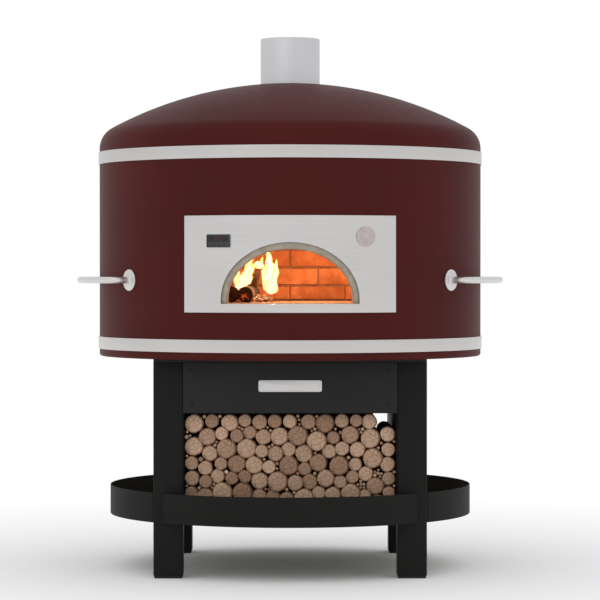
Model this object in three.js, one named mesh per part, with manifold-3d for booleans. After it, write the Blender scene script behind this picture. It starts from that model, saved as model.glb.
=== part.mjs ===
// A wood fired pizza oven: a round insulated drum with a domed cover and a flue, on a square steel
// stand with a firewood bay and a round tray. Millimetres, +Z up. The origin is on the floor on the
// drum's axis, and the mouth faces -Y. Angles round the drum are in degrees from the front, and
// positive towards +X.
import * as THREE from "three";
import { mergeVertices } from "three/addons/utils/BufferGeometryUtils.js";
import Module from "manifold-3d";

const wasm = await Module();
wasm.setup();

// Driving dimensions.
const gap = 0.3; // between pieces that touch
const sheet = 3; // wall of the drum, the covers and the stand's panels
const facets = 48; // round the outer shells
const innerFacets = 36; // round the hidden rings

const drumRadius = 753;
const drumBottom = 829;
const panTop = 882;
const panRoll = [[-8, 0], [-2, 3], [0, 9]]; // its lower edge, out and up from the drum's corner
const coverJoint = 1604;
const domeApex = 1903;
const domeCapRadius = 1475;
const domeShoulder = 90;

const bandHeight = 48;
const bandThickness = 2.5;
const bandPlay = 2.2; // clears the corners of the faceted drum
const lowerBandBottom = 858;
const upperBandBottom = 1580;
const bandEnd = 178.5; // degrees from the front to the split at the rear
const claspHalfAngle = 7;
const claspThickness = 5;
const claspInset = 6; // from the band's upper and lower edges

const fluePipeRadius = 117;
const flueLinerRadius = 80;
const flueTop = 2079;
const flueWall = 3;
const fluePipeBottom = 1860;
const flueLinerBottom = 1460;
const flueCollarWidth = 40;
const flueCollarDrop = 13; // from the dome's apex to the collar's top
const damperHeight = 1982;
const damperThickness = 2.5;
const damperPlay = 4; // between the damper's plate and the liner
const spindleRadius = 5;
const spindlePlay = 0.6;
const handleStandoff = 22; // behind the flue
const leverHalf = 8;
const leverDepth = 5;
const knobRise = 60; // from the spindle to the knob
const knobRadius = 13;
const knobReach = 34; // from the lever's front to the knob's end

const chamberRadius = 560;
const brickThickness = 70;
const chamberRise = 228;
const cookingFloor = 1040;
const courseHeights = [61, 75, 75]; // the lowest course is cut to suit the floor
const springing = courseHeights.reduce((height, course) => height + course, cookingFloor);
const hearthThickness = 50;
const blanketRadius = 722;
const blanketPlay = 6; // between the bricks and the blanket
const blanketWall = 164; // the height of its upright wall over the springing
const blanketRise = 330;
const panFloor = 6; // thickness of the base pan's floor

const mouthWidth = 514;
const mouthTop = 1268;
const mouthStraight = 15; // the upright sides under the half ellipse
const throatWidth = 466;
const throatTop = 1243;
const archThickness = 45;
const archFront = -(drumRadius - sheet - 3);
const openingDrop = 16; // from the cooking floor to the foot of the shell's opening
const throatCut = [-900, -300]; // from before the drum's front to inside the chamber, along Y

const plateHalfAngle = 31.4;
const plateBottom = 1007;
const plateTop = 1368;
const plateRadius = 755; // its inner face
const badgeAngle = 21.7;
const badgeHeight = 1289;
const badgeRadius = 38;
const badgeStandoff = 1.2; // clears the plate's facets

// The controller is made facing -Y at the origin, and then set into the plate.
const panelHeight = 1273;
const panelAngle = -20.5;
const panelHalf = [46, 24]; // half the bezel's width and height
const bezelDepth = 6;
const bodyInset = 3; // the body is this much smaller than the bezel on each side
const controllerDepth = 60;
const panelCut = 50; // reaches through the shell and the plate, either way
const pocketPlay = 4; // round the controller in the blanket
const windowHalf = [39, 10];
const windowRow = 7;
const keyHalf = [6, 2.5];
const keyPitch = 20;
const keyRow = -14;
const keySlotDepth = 4.5;
const keyTravel = 1.5;

const probeAngle = -34;
const probeHeight = 1340;
const probeRadius = 4;
const probeTip = 490; // its distance from the drum's axis
const probePlay = 0.6;
const probeCollar = [3, 14]; // from the blanket to its collar's two ends
const probeCollarRadius = 9;
const leadRadius = 2;

const railHeight = 1127;
const railTube = 12.5;
const railRadius = 829;
const railEnds = [54, 126];
const railBend = 36;
const flangeRadius = 41;
const flangeThickness = 6;

const legOuter = 517;
const legSize = 112;
const legWall = 4;
const padHeight = 10;
const legTop = 818;
const headerBottom = 624;
const bayHalfWidth = 401.5;

const trayRadius = 711;
const trayWall = 4;
const trayBottom = 209;
const trayTop = 322;
const trayFloorZ = 213;

const logLength = 470;
const logsAcross = 12;
const logRise = 29; // of the scallops along the pile's top
const pileCrown = 592; // where those scallops start
const pileSpacing = 24;
// Each pile's front edge, and how far its last column is below the others: the top log is missing
// at the right of the front pile, and two are at the rear.
const piles = [
  ["front", -pileSpacing / 2 - logLength, 2],
  ["rear", pileSpacing / 2, 66],
];

const firePlace = [-190, 30]; // the fire's middle on the cooking floor
const emberRadius = 150;
const emberHeight = 30;
const logSeat = 22; // from the ember bed's top to the middle of the logs
const glandPlace = [180, 640];
const glandBore = 8;
const glandStem = 7;
const glandNut = 14;
const glandDrop = 22; // under the base pan

// Materials.
function material(colour, roughness, metalness) {
  return new THREE.MeshStandardMaterial({ color: colour, roughness, metalness });
}
const red = material(0x4c2423, 0.45, 0.2);
const steel = material(0xc6c4c2, 0.35, 0.9);
const black = material(0x292928, 0.5, 0.3);
const rubber = material(0x1c1c1c, 0.9, 0);
const brick = material(0xc8683a, 0.9, 0);
const cement = material(0x9a8f83, 0.95, 0);
const fibre = material(0xe6e0d2, 1, 0);
const wood = material(0x75604c, 0.85, 0);
const charred = material(0x2a1c15, 0.95, 0);
const ember = material(0x6b2a12, 0.95, 0);
const plastic = material(0x2c2c2e, 0.5, 0);
const glass = material(0x101214, 0.1, 0);
const badgePaint = material(0xb5acae, 0.5, 0.4);
const spindleSteel = material(0x8c8a88, 0.4, 0.9);

const model = new THREE.Group();

function add(name, geometry, look) {
  const mesh = new THREE.Mesh(geometry, look);
  mesh.name = name;
  model.add(mesh);
}

// Booleans.
function solidOf(geometry) {
  const bare = geometry.clone();
  bare.deleteAttribute("normal");
  bare.deleteAttribute("uv");
  const merged = mergeVertices(bare, 1e-4);
  return new wasm.Manifold(
    new wasm.Mesh({
      numProp: 3,
      vertProperties: merged.attributes.position.array,
      triVerts: new Uint32Array(merged.index.array),
    }),
  );
}

function geometryOf(solid) {
  const mesh = solid.getMesh();
  return new THREE.BufferGeometry()
    .setAttribute("position", new THREE.BufferAttribute(mesh.vertProperties, 3))
    .setIndex(new THREE.BufferAttribute(mesh.triVerts, 1));
}

function cut(geometry, ...tools) {
  return geometryOf(tools.reduce((left, tool) => left.subtract(solidOf(tool)), solidOf(geometry)));
}

function join(geometry, ...others) {
  return geometryOf(others.reduce((whole, other) => whole.add(solidOf(other)), solidOf(geometry)));
}

function common(geometry, other) {
  return geometryOf(solidOf(geometry).intersect(solidOf(other)));
}

// Basic shapes.
function radians(degrees) {
  return THREE.MathUtils.degToRad(degrees);
}

function around(radius, degrees, height) {
  const angle = radians(degrees);
  return new THREE.Vector3(radius * Math.sin(angle), -radius * Math.cos(angle), height);
}

// A box from its lowest to its highest corner.
function box(low, high) {
  const size = low.map((value, axis) => high[axis] - value);
  const middle = low.map((value, axis) => (high[axis] + value) / 2);
  return new THREE.BoxGeometry(...size).translate(...middle);
}

// A closed profile of [radius, height] points turned about Z.
function turned(profile, count = facets) {
  const points = profile.map(([radius, height]) => new THREE.Vector2(radius, height));
  points.push(points[0].clone());
  if (THREE.ShapeUtils.area(points) < 0) points.reverse();
  return new THREE.LatheGeometry(points, count).rotateX(Math.PI / 2);
}

function ring(inner, outer, low, high, count = facets) {
  return turned([[inner, low], [outer, low], [outer, high], [inner, high]], count);
}

function disc(radius, low, high, count = facets) {
  return new THREE.CylinderGeometry(radius, radius, high - low, count)
    .rotateX(Math.PI / 2)
    .translate(0, 0, (low + high) / 2);
}

// A curved wall that stands on the drum's axis and covers the angles from one to the other.
function curvedWall(inner, outer, from, to, low, high, steps) {
  const start = radians(from - 90);
  const end = radians(to - 90);
  const outline = new THREE.Shape();
  outline.absarc(0, 0, outer, start, end, false);
  outline.absarc(0, 0, inner, end, start, true);
  return new THREE.ExtrudeGeometry(outline, {
    depth: high - low,
    bevelEnabled: false,
    curveSegments: steps,
  }).translate(0, 0, low);
}

// A rod between two points.
function rod(start, end, radius, count = 12) {
  const direction = end.clone().sub(start);
  const turn = new THREE.Quaternion().setFromUnitVectors(
    new THREE.Vector3(0, 1, 0),
    direction.clone().normalize(),
  );
  const middle = start.clone().add(end).multiplyScalar(0.5);
  return new THREE.CylinderGeometry(radius, radius, direction.length(), count)
    .applyQuaternion(turn)
    .translate(middle.x, middle.y, middle.z);
}

// The mouth's outline, a half ellipse on short upright sides, pushed through the drum's front.
function mouthShape(width, bottom, top) {
  const [front, back] = throatCut;
  const half = width / 2;
  const sideTop = cookingFloor + mouthStraight;
  const outline = new THREE.Shape();
  outline.moveTo(-half, bottom);
  outline.lineTo(half, bottom);
  outline.lineTo(half, sideTop);
  outline.absellipse(0, sideTop, half, top - sideTop, 0, Math.PI, false, 0);
  outline.closePath();
  return new THREE.ExtrudeGeometry(outline, {
    depth: back - front,
    bevelEnabled: false,
    curveSegments: 20,
  })
    .rotateX(Math.PI / 2)
    .translate(0, back, 0);
}

// The stand.
const corners = [
  ["front_left", -1, -1],
  ["front_right", 1, -1],
  ["rear_left", -1, 1],
  ["rear_right", 1, 1],
];

function squareAt(sideX, sideY, inset, low, high) {
  const near = legOuter - legSize + inset;
  const far = legOuter - inset;
  const xs = [sideX * near, sideX * far].sort((a, b) => a - b);
  const ys = [sideY * near, sideY * far].sort((a, b) => a - b);
  return box([xs[0], ys[0], low], [xs[1], ys[1], high]);
}

function addLegs() {
  for (const [place, sideX, sideY] of corners) {
    const tube = squareAt(sideX, sideY, 0, padHeight + gap, legTop);
    const hollow = squareAt(sideX, sideY, legWall, 0, legTop + 1);
    add(`leg_${place}`, cut(tube, hollow), black);
    add(`foot_pad_${place}`, squareAt(sideX, sideY, 3, 0, padHeight), rubber);
  }
}

// A folded panel between the legs, with a return flange along its top and bottom edges.
function header(side) {
  const flange = 32;
  const outer = side * (legOuter - 1);
  const skin = side * (legOuter - 1 - sheet);
  const lip = side * (legOuter - 1 - flange);
  const outline = new THREE.Shape();
  outline.moveTo(outer, headerBottom);
  outline.lineTo(outer, legTop);
  outline.lineTo(lip, legTop);
  outline.lineTo(lip, legTop - sheet);
  outline.lineTo(skin, legTop - sheet);
  outline.lineTo(skin, headerBottom + sheet);
  outline.lineTo(lip, headerBottom + sheet);
  outline.lineTo(lip, headerBottom);
  outline.closePath();
  const half = legOuter - legSize - gap;
  return new THREE.ExtrudeGeometry(outline, { depth: 2 * half, bevelEnabled: false })
    .rotateX(Math.PI / 2)
    .rotateZ(Math.PI / 2)
    .translate(-half, 0, 0);
}

function addStandPanels() {
  add("header_front", header(-1), black);
  add("header_rear", header(1), black);
  const reach = 478; // from the middle to the panels' front and rear edges
  for (const [side, name] of [[-1, "left"], [1, "right"]]) {
    const faces = [side * bayHalfWidth, side * (bayHalfWidth + sheet)].sort((a, b) => a - b);
    const low = [faces[0], -reach, trayFloorZ + trayWall + gap];
    add(`side_panel_${name}`, box(low, [faces[1], reach, legTop]), black);
  }
  const half = legOuter;
  const top = box([-half, -half, legTop + gap], [half, half, drumBottom - gap]);
  add("top_plate", top, black);
}

function addTray() {
  const notches = corners.map(([, sideX, sideY]) => squareAt(sideX, sideY, -gap, 0, trayTop));
  const floorRadius = trayRadius - trayWall - 2; // clears the facets of the wall
  const plate = disc(floorRadius, trayFloorZ, trayFloorZ + trayWall, 48);
  add("tray_floor", cut(plate, ...notches), black);
  const reach = THREE.MathUtils.radToDeg(Math.acos(legOuter / (trayRadius - trayWall))) - 0.1;
  ["front", "right", "rear", "left"].forEach((name, quarter) => {
    const middle = 90 * quarter;
    const inner = trayRadius - trayWall;
    const wall = curvedWall(
      inner, trayRadius, middle - reach, middle + reach, trayBottom, trayTop, 12,
    );
    add(`tray_wall_${name}`, wall, black);
  });
}

function addNamePlate() {
  const half = 120;
  const corner = 8;
  const bottom = 705;
  const top = 749;
  const outline = new THREE.Shape();
  outline.moveTo(-half + corner, bottom);
  outline.absarc(half - corner, bottom + corner, corner, -Math.PI / 2, 0, false);
  outline.absarc(half - corner, top - corner, corner, 0, Math.PI / 2, false);
  outline.absarc(-half + corner, top - corner, corner, Math.PI / 2, Math.PI, false);
  outline.absarc(-half + corner, bottom + corner, corner, Math.PI, 1.5 * Math.PI, false);
  const plate = new THREE.ExtrudeGeometry(outline, {
    depth: 2,
    bevelEnabled: false,
    curveSegments: 4,
  })
    .rotateX(Math.PI / 2)
    .translate(0, -legOuter + 1 - gap, 0);
  add("name_plate", plate, steel);
}

// A pile of cut logs seen from its end: flat where it lies on the tray and against the side panels,
// and scalloped along the top by its upper row, which lacks its last log.
function pileOutline(missing) {
  const bottom = trayFloorZ + trayWall + gap;
  const half = bayHalfWidth - gap;
  const pitch = (2 * half) / logsAcross;
  const step = pileCrown - missing;
  const outline = new THREE.Shape();
  outline.moveTo(-half, bottom);
  outline.lineTo(half, bottom);
  outline.lineTo(half, step);
  outline.lineTo(half - pitch, step);
  outline.lineTo(half - pitch, pileCrown);
  for (let log = logsAcross - 2; log >= 0; log -= 1) {
    const middle = -half + pitch * (log + 0.5);
    outline.absellipse(middle, pileCrown, pitch / 2, logRise, 0, Math.PI, false, 0);
  }
  outline.closePath();
  return outline;
}

function addFirewood() {
  for (const [name, front, missing] of piles) {
    const pile = new THREE.ExtrudeGeometry(pileOutline(missing), {
      depth: logLength,
      bevelEnabled: false,
      curveSegments: 4,
    })
      .rotateX(Math.PI / 2)
      .translate(0, front + logLength, 0);
    add(`firewood_${name}`, pile, wood);
  }
}

// The drum.
function addDrumShells() {
  const inner = drumRadius - sheet;
  const pan = turned([
    [0, drumBottom],
    ...panRoll.map(([out, up]) => [drumRadius + out, drumBottom + up]),
    [drumRadius, panTop],
    [inner, panTop],
    [inner, drumBottom + panFloor],
    [0, drumBottom + panFloor],
  ]);
  const glandHole = disc(glandBore, 0, cookingFloor, 16).translate(...glandPlace, 0);
  add("base_pan", cut(pan, glandHole), red);
  const lap = 10; // the arch's edge that the shell covers
  const openingWidth = throatWidth + 2 * (archThickness - lap);
  const openingTop = throatTop + archThickness - lap;
  const opening = mouthShape(openingWidth, cookingFloor - openingDrop, openingTop);
  const controllerHole = panelBox(bodyInset - 1, -panelCut, panelCut);
  placeOnDrum(controllerHole, panelAngle, panelHeight, drumRadius);
  const shell = ring(inner, drumRadius, panTop + gap, coverJoint);
  add("drum_shell", cut(shell, opening, controllerHole), red);
}

// The dome cover's outline from its rim to the flue hole, this far inside its outer face.
function domeOutline(inset) {
  const wall = drumRadius - inset;
  const cap = domeCapRadius - inset;
  const bend = domeShoulder - inset;
  const centre = domeApex - domeCapRadius;
  const bendX = wall - bend;
  const bendZ = centre + Math.sqrt((cap - bend) ** 2 - bendX ** 2);
  const bendEnd = Math.atan2(bendZ - centre, bendX);
  const hole = fluePipeRadius + 1;
  const capEnd = Math.acos(hole / cap);
  const points = [[wall, coverJoint + gap]];
  const bendSteps = 4;
  for (let step = 0; step <= bendSteps; step += 1) {
    const angle = (bendEnd * step) / bendSteps;
    points.push([bendX + bend * Math.cos(angle), bendZ + bend * Math.sin(angle)]);
  }
  const capSteps = 5;
  for (let step = 1; step <= capSteps; step += 1) {
    const angle = bendEnd + ((capEnd - bendEnd) * step) / capSteps;
    points.push([cap * Math.cos(angle), centre + cap * Math.sin(angle)]);
  }
  return points;
}

function addDomeCover() {
  const outer = domeOutline(0);
  const inner = domeOutline(sheet).reverse();
  add("dome_cover", turned([...outer, ...inner]), red);
}

function addBands() {
  const inner = drumRadius + bandPlay;
  const outer = inner + bandThickness;
  for (const [name, low] of [["lower", lowerBandBottom], ["upper", upperBandBottom]]) {
    const high = low + bandHeight;
    const band = curvedWall(inner, outer, -bandEnd, bandEnd, low, high, facets);
    add(`band_${name}`, band, steel);
    const clasp = curvedWall(outer + gap, outer + claspThickness, 180 - claspHalfAngle,
      180 + claspHalfAngle, low + claspInset, high - claspInset, 4);
    add(`band_clasp_${name}`, clasp, steel);
  }
}

// The hearth and the chamber. The arch's block is grown to make the notch that it fits in.
function archBlock(grow) {
  const width = throatWidth + 2 * (archThickness + grow);
  const top = throatTop + archThickness + grow;
  return mouthShape(width, cookingFloor - hearthThickness - grow, top);
}

function addHearth() {
  const slabTop = cookingFloor - hearthThickness - gap;
  const boardBottom = drumBottom + panFloor + gap;
  add("hearth_insulation", disc(blanketRadius, boardBottom, slabTop, innerFacets), fibre);
  const slabRadius = chamberRadius + brickThickness - 2;
  const slab = disc(slabRadius, slabTop + gap, cookingFloor, innerFacets);
  add("hearth_floor", cut(slab, archBlock(gap)), brick);
}

function addMouthArch() {
  const depth = ring(chamberRadius, -archFront, 0, coverJoint, facets);
  const tunnel = mouthShape(throatWidth, cookingFloor, throatTop);
  add("mouth_arch", cut(common(archBlock(0), depth), tunnel), cement);
}

// A vault's outline from its foot to the edge of the hole in its crown.
function vault(radius, foot, rise, hole) {
  const steps = 6;
  const last = Math.acos(hole / radius);
  return Array.from({ length: steps + 1 }, (_, step) => {
    const angle = (last * step) / steps;
    return [radius * Math.cos(angle), foot + rise * Math.sin(angle)];
  });
}

function probeBore(radius) {
  return rod(
    around(probeTip - 20, probeAngle, probeHeight),
    around(drumRadius, probeAngle, probeHeight),
    radius,
  );
}

function addChamber() {
  const outer = chamberRadius + brickThickness;
  const throat = archBlock(gap);
  let low = cookingFloor;
  courseHeights.forEach((height, index) => {
    const bricks = ring(chamberRadius, outer, low + gap, low + height, innerFacets);
    add(`brick_course_${index + 1}`, cut(bricks, throat), brick);
    low += height;
  });
  const foot = springing + gap;
  const hole = flueLinerRadius + flueWall + 1;
  const outside = vault(outer, foot, chamberRise + brickThickness, hole);
  const inside = vault(chamberRadius, foot, chamberRise, hole).reverse();
  const vaulted = turned([...outside, ...inside], innerFacets);
  add("chamber_dome", cut(vaulted, throat, probeBore(probeRadius + probePlay)), brick);
}

function addInsulation() {
  const inner = chamberRadius + brickThickness + blanketPlay;
  const bottom = cookingFloor - hearthThickness;
  const hole = fluePipeRadius + 4;
  const outside = vault(blanketRadius, springing + blanketWall, blanketRise, hole);
  const inside = vault(inner, springing, chamberRise + brickThickness + blanketPlay, hole).reverse();
  const blanket = turned([[blanketRadius, bottom], ...outside, ...inside, [inner, bottom]],
    innerFacets);
  const pocket = panelBox(0, -bezelDepth - pocketPlay, controllerDepth + pocketPlay);
  placeOnDrum(pocket, panelAngle, panelHeight, plateRadius + sheet);
  const bore = probeBore(probeRadius + 1);
  add("insulation_blanket", cut(blanket, archBlock(blanketPlay / 2), bore, pocket), fibre);
}

// The front plate and what is on it.
function placeOnDrum(geometry, degrees, height, radius) {
  const place = around(radius, degrees, height);
  return geometry.rotateZ(radians(degrees)).translate(place.x, place.y, place.z);
}

function addFrontPlate() {
  const plate = curvedWall(
    plateRadius, plateRadius + sheet, -plateHalfAngle, plateHalfAngle, plateBottom, plateTop, 16,
  );
  const mouth = mouthShape(mouthWidth, cookingFloor, mouthTop);
  const controller = panelBox(bodyInset / 2, -panelCut, panelCut);
  placeOnDrum(controller, panelAngle, panelHeight, drumRadius);
  add("front_plate", cut(plate, mouth, controller), steel);
}

// A block behind the bezel's outline, smaller than it by this inset, between two depths.
function panelBox(inset, front, back) {
  const [halfWidth, halfHeight] = panelHalf.map((half) => half - inset);
  return box([-halfWidth, front, -halfHeight], [halfWidth, back, halfHeight]);
}

function addController() {
  const front = plateRadius + sheet;
  const body = panelBox(bodyInset, -2, controllerDepth);
  const bezel = panelBox(0, -bezelDepth, -1.2);
  const recess = box([-windowHalf[0] - gap, -bezelDepth - 1, windowRow - windowHalf[1] - gap],
    [windowHalf[0] + gap, -bezelDepth + 2, windowRow + windowHalf[1] + gap]);
  const slotBack = keySlotDepth - bezelDepth;
  const slots = [-1, 0, 1].map((place) => box(
    [place * keyPitch - keyHalf[0] - gap, -bezelDepth - 1, keyRow - keyHalf[1] - gap],
    [place * keyPitch + keyHalf[0] + gap, slotBack, keyRow + keyHalf[1] + gap],
  ));
  const housing = cut(join(bezel, body), recess, ...slots);
  const set = (geometry) => placeOnDrum(geometry, panelAngle, panelHeight, front);
  add("controller_housing", set(housing), plastic);
  const pane = box([-windowHalf[0], -bezelDepth + 0.3, windowRow - windowHalf[1]],
    [windowHalf[0], -bezelDepth + 1.7, windowRow + windowHalf[1]]);
  add("controller_window", set(pane), glass);
  ["down", "set", "up"].forEach((name, index) => {
    const middle = (index - 1) * keyPitch;
    const key = box([middle - keyHalf[0], -bezelDepth - keyTravel, keyRow - keyHalf[1]],
      [middle + keyHalf[0], slotBack - keyTravel - gap, keyRow + keyHalf[1]]);
    add(`controller_key_${name}`, set(key), rubber);
  });
}

// The probe through the vault, and its lead between the blanket and the shell to the controller.
function addThermocouple() {
  const tip = around(probeTip, probeAngle, probeHeight);
  const [shoulder, back] = probeCollar.map(
    (reach) => around(blanketRadius + reach, probeAngle, probeHeight),
  );
  const collar = rod(shoulder, back, probeCollarRadius, 12);
  const probe = join(rod(tip, shoulder, probeRadius, 10), collar);
  add("thermocouple_probe", probe, spindleSteel);
  const middle = (blanketRadius + drumRadius) / 2;
  const route = new THREE.CatmullRomCurve3([
    around(middle, panelAngle - 3.8, panelHeight),
    around(middle, panelAngle - 6, panelHeight + 8),
    around(middle, probeAngle + 4, probeHeight - 12),
    around(blanketRadius + 9, probeAngle + 0.8, probeHeight),
  ]);
  const section = new THREE.Shape();
  section.absarc(0, 0, leadRadius, 0, 2 * Math.PI, false);
  const lead = new THREE.ExtrudeGeometry(section, {
    extrudePath: route,
    steps: 12,
    bevelEnabled: false,
    curveSegments: 4,
  });
  add("thermocouple_lead", lead, fibre);
}

function addBadge() {
  const badge = disc(badgeRadius, 0, 2, 32).rotateX(Math.PI / 2);
  placeOnDrum(badge, badgeAngle, badgeHeight, plateRadius + sheet + badgeStandoff);
  add("round_badge", badge, badgePaint);
}

// The flue: a liner inside an outer pipe, held under the dome cover by a collar.
function addFlue() {
  const outer = fluePipeRadius;
  const inner = outer - flueWall;
  const linerOuter = flueLinerRadius + flueWall;
  const lip = linerOuter + gap;
  const pipe = turned([
    [inner, fluePipeBottom],
    [outer, fluePipeBottom],
    [outer, flueTop],
    [lip, flueTop],
    [lip, flueTop - flueWall],
    [inner, flueTop - flueWall],
  ], innerFacets);
  const boreFront = new THREE.Vector3(0, -flueLinerRadius - 10, damperHeight);
  const boreBack = new THREE.Vector3(0, outer + handleStandoff + 1, damperHeight);
  const bore = rod(boreFront, boreBack, spindleRadius + spindlePlay, 16);
  add("flue_pipe", cut(pipe, bore), steel);
  const liner = ring(flueLinerRadius, linerOuter, flueLinerBottom, flueTop, innerFacets);
  add("flue_liner", cut(liner, bore), steel);
  const collarTop = domeApex - flueCollarDrop;
  const collarBottom = collarTop - 2 * flueWall;
  const collarOuter = outer + flueCollarWidth;
  add("flue_collar", ring(outer + 1, collarOuter, collarBottom, collarTop, innerFacets), steel);
}

// The damper turns on a spindle along Y. It is stored open, with its plate and handle upright.
function addDamper() {
  const behind = fluePipeRadius + handleStandoff;
  const discRadius = flueLinerRadius - damperPlay;
  const plate = new THREE.CylinderGeometry(discRadius, discRadius, damperThickness, 28)
    .rotateZ(Math.PI / 2)
    .translate(spindleRadius + gap + damperThickness / 2, 0, damperHeight);
  add("damper_plate", plate, spindleSteel);
  const at = (y, rise) => new THREE.Vector3(0, y, damperHeight + rise);
  const spindle = rod(at(-flueLinerRadius - 2, 0), at(behind - gap, 0), spindleRadius, 16);
  add("damper_spindle", spindle, spindleSteel);
  const lever = box([-leverHalf, behind, damperHeight - 10],
    [leverHalf, behind + leverDepth, damperHeight + knobRise + 2]);
  const knobStart = at(behind + leverDepth - 1, knobRise);
  const knob = rod(knobStart, at(behind + knobReach, knobRise), knobRadius, 16);
  add("damper_handle", join(lever, knob), black);
}

// The side rails: a tube bent round the drum, turned in to a flange on the shell at each end.
function railPath(side) {
  const foot = drumRadius + flangeThickness + 1;
  const points = [];
  const turnIn = THREE.MathUtils.radToDeg(railBend / railRadius);
  const [start, end] = railEnds;
  const corner = (at, inward) => [0, 0.3, 0.7, 1].map((share) => {
    const angle = (share * Math.PI) / 2;
    const radius = railRadius - railBend + railBend * Math.sin(angle);
    return around(radius, side * (at + inward * turnIn * (1 - Math.cos(angle))), railHeight);
  });
  points.push(around(foot, side * start, railHeight), ...corner(start, 1));
  const straights = 12;
  for (let step = 1; step < straights; step += 1) {
    const at = start + turnIn + ((end - start - 2 * turnIn) * step) / straights;
    points.push(around(railRadius, side * at, railHeight));
  }
  points.push(...corner(end, -1).reverse(), around(foot, side * end, railHeight));
  return points;
}

function addRails() {
  const section = new THREE.Shape();
  section.absarc(0, 0, railTube, 0, 2 * Math.PI, false);
  for (const [name, side] of [["left", -1], ["right", 1]]) {
    const tube = new THREE.ExtrudeGeometry(section, {
      extrudePath: new THREE.CatmullRomCurve3(railPath(side), false, "centripetal"),
      steps: 34,
      bevelEnabled: false,
      curveSegments: 5,
    });
    add(`rail_${name}`, tube, steel);
    for (const [place, at] of [["front", railEnds[0]], ["rear", railEnds[1]]]) {
      const flange = rod(around(drumRadius + gap, side * at, railHeight),
        around(drumRadius + flangeThickness, side * at, railHeight), flangeRadius, 24);
      add(`rail_flange_${name}_${place}`, flange, steel);
    }
  }
}

// The fire, at the left of the cooking floor: a low heap of embers with two logs in it and one that
// leans on them. Each log is given by its two ends, from the fire's middle, and its radius.
const fireLogs = [
  [[-40, -220, -19], [-62, 140, -14], 32],
  [[16, -228, -21], [40, 120, -18], 30],
  [[38, 70, 6], [66, -70, 92], 20],
];

function addFire() {
  const bed = turned([
    [0, cookingFloor + gap],
    [emberRadius, cookingFloor + gap],
    [0.93 * emberRadius, cookingFloor + 0.4 * emberHeight],
    [0.6 * emberRadius, cookingFloor + 0.8 * emberHeight],
    [0, cookingFloor + emberHeight],
  ], 16);
  bed.scale(0.9, 1.1, 1).translate(...firePlace, 0);
  add("ember_bed", bed, ember);
  const base = new THREE.Vector3(...firePlace, cookingFloor + emberHeight + logSeat);
  const logs = fireLogs.map(([start, end, radius]) => {
    const from = new THREE.Vector3(...start).add(base);
    const to = new THREE.Vector3(...end).add(base);
    return rod(from, to, radius, 10);
  });
  add("fire_logs", cut(join(...logs), bed.clone().translate(0, 0, 2 * gap)), charred);
}

function addCableGland() {
  const at = (height) => new THREE.Vector3(...glandPlace, height);
  const stem = rod(at(drumBottom - 1), at(drumBottom + panFloor), glandStem);
  const nut = rod(at(drumBottom - glandDrop), at(drumBottom - gap), glandNut, 6);
  add("cable_gland", join(stem, nut), plastic);
}

addLegs();
addStandPanels();
addTray();
addNamePlate();
addFirewood();
addDrumShells();
addDomeCover();
addBands();
addHearth();
addMouthArch();
addChamber();
addInsulation();
addFrontPlate();
addController();
addThermocouple();
addBadge();
addFlue();
addDamper();
addRails();
addFire();
addCableGland();

export default model;
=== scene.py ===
"""The looks of a wood fired pizza oven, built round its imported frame. Metres, +Z up, mouth at -Y."""

import math
import random

import bmesh
import bpy
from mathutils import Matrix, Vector, noise


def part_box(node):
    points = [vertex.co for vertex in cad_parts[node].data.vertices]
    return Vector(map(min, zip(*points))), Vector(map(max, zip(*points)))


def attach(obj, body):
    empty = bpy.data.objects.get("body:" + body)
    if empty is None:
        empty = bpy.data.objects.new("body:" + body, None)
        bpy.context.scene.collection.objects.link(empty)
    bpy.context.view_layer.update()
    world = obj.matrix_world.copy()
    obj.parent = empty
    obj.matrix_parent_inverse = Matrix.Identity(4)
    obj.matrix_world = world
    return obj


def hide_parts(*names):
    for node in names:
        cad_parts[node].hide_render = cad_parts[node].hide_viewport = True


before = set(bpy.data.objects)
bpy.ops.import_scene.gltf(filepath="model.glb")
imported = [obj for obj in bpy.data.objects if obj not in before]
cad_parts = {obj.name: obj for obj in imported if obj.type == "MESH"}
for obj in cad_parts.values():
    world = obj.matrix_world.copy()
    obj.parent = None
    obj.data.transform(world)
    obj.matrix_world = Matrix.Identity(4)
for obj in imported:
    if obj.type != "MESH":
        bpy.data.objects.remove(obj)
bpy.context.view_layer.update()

# Sizes that the frame gives.
PAN_LOW, PAN_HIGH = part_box("base_pan")
SHELL_LOW, SHELL_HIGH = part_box("drum_shell")
DOME_LOW, DOME_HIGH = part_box("dome_cover")
PLATE_LOW, PLATE_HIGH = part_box("front_plate")
ARCH_LOW, ARCH_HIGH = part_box("mouth_arch")
FLOOR_LOW, FLOOR_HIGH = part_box("hearth_floor")
PIPE_LOW, PIPE_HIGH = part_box("flue_pipe")
LINER_LOW, LINER_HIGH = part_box("flue_liner")
PANEL_LOW, PANEL_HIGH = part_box("controller_housing")
BADGE_LOW, BADGE_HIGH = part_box("round_badge")
RAIL_LOW, RAIL_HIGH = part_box("rail_right")
TRAY_LOW, TRAY_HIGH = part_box("tray_wall_right")
TRAY_FLOOR_LOW, TRAY_FLOOR_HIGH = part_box("tray_floor")
LEG_LOW, LEG_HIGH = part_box("leg_front_right")
PAD_LOW, PAD_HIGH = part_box("foot_pad_front_right")
HEADER_LOW, HEADER_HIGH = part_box("header_front")
TOP_LOW, TOP_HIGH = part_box("top_plate")
NAME_LOW, NAME_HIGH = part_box("name_plate")
COURSE_LOW, COURSE_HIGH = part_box("brick_course_1")
VAULT_LOW, VAULT_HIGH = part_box("chamber_dome")
EMBER_LOW, EMBER_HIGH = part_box("ember_bed")
PLATE_DAMPER_LOW, PLATE_DAMPER_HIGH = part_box("damper_plate")
SPINDLE_LOW, SPINDLE_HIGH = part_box("damper_spindle")
HANDLE_LOW, HANDLE_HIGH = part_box("damper_handle")

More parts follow.
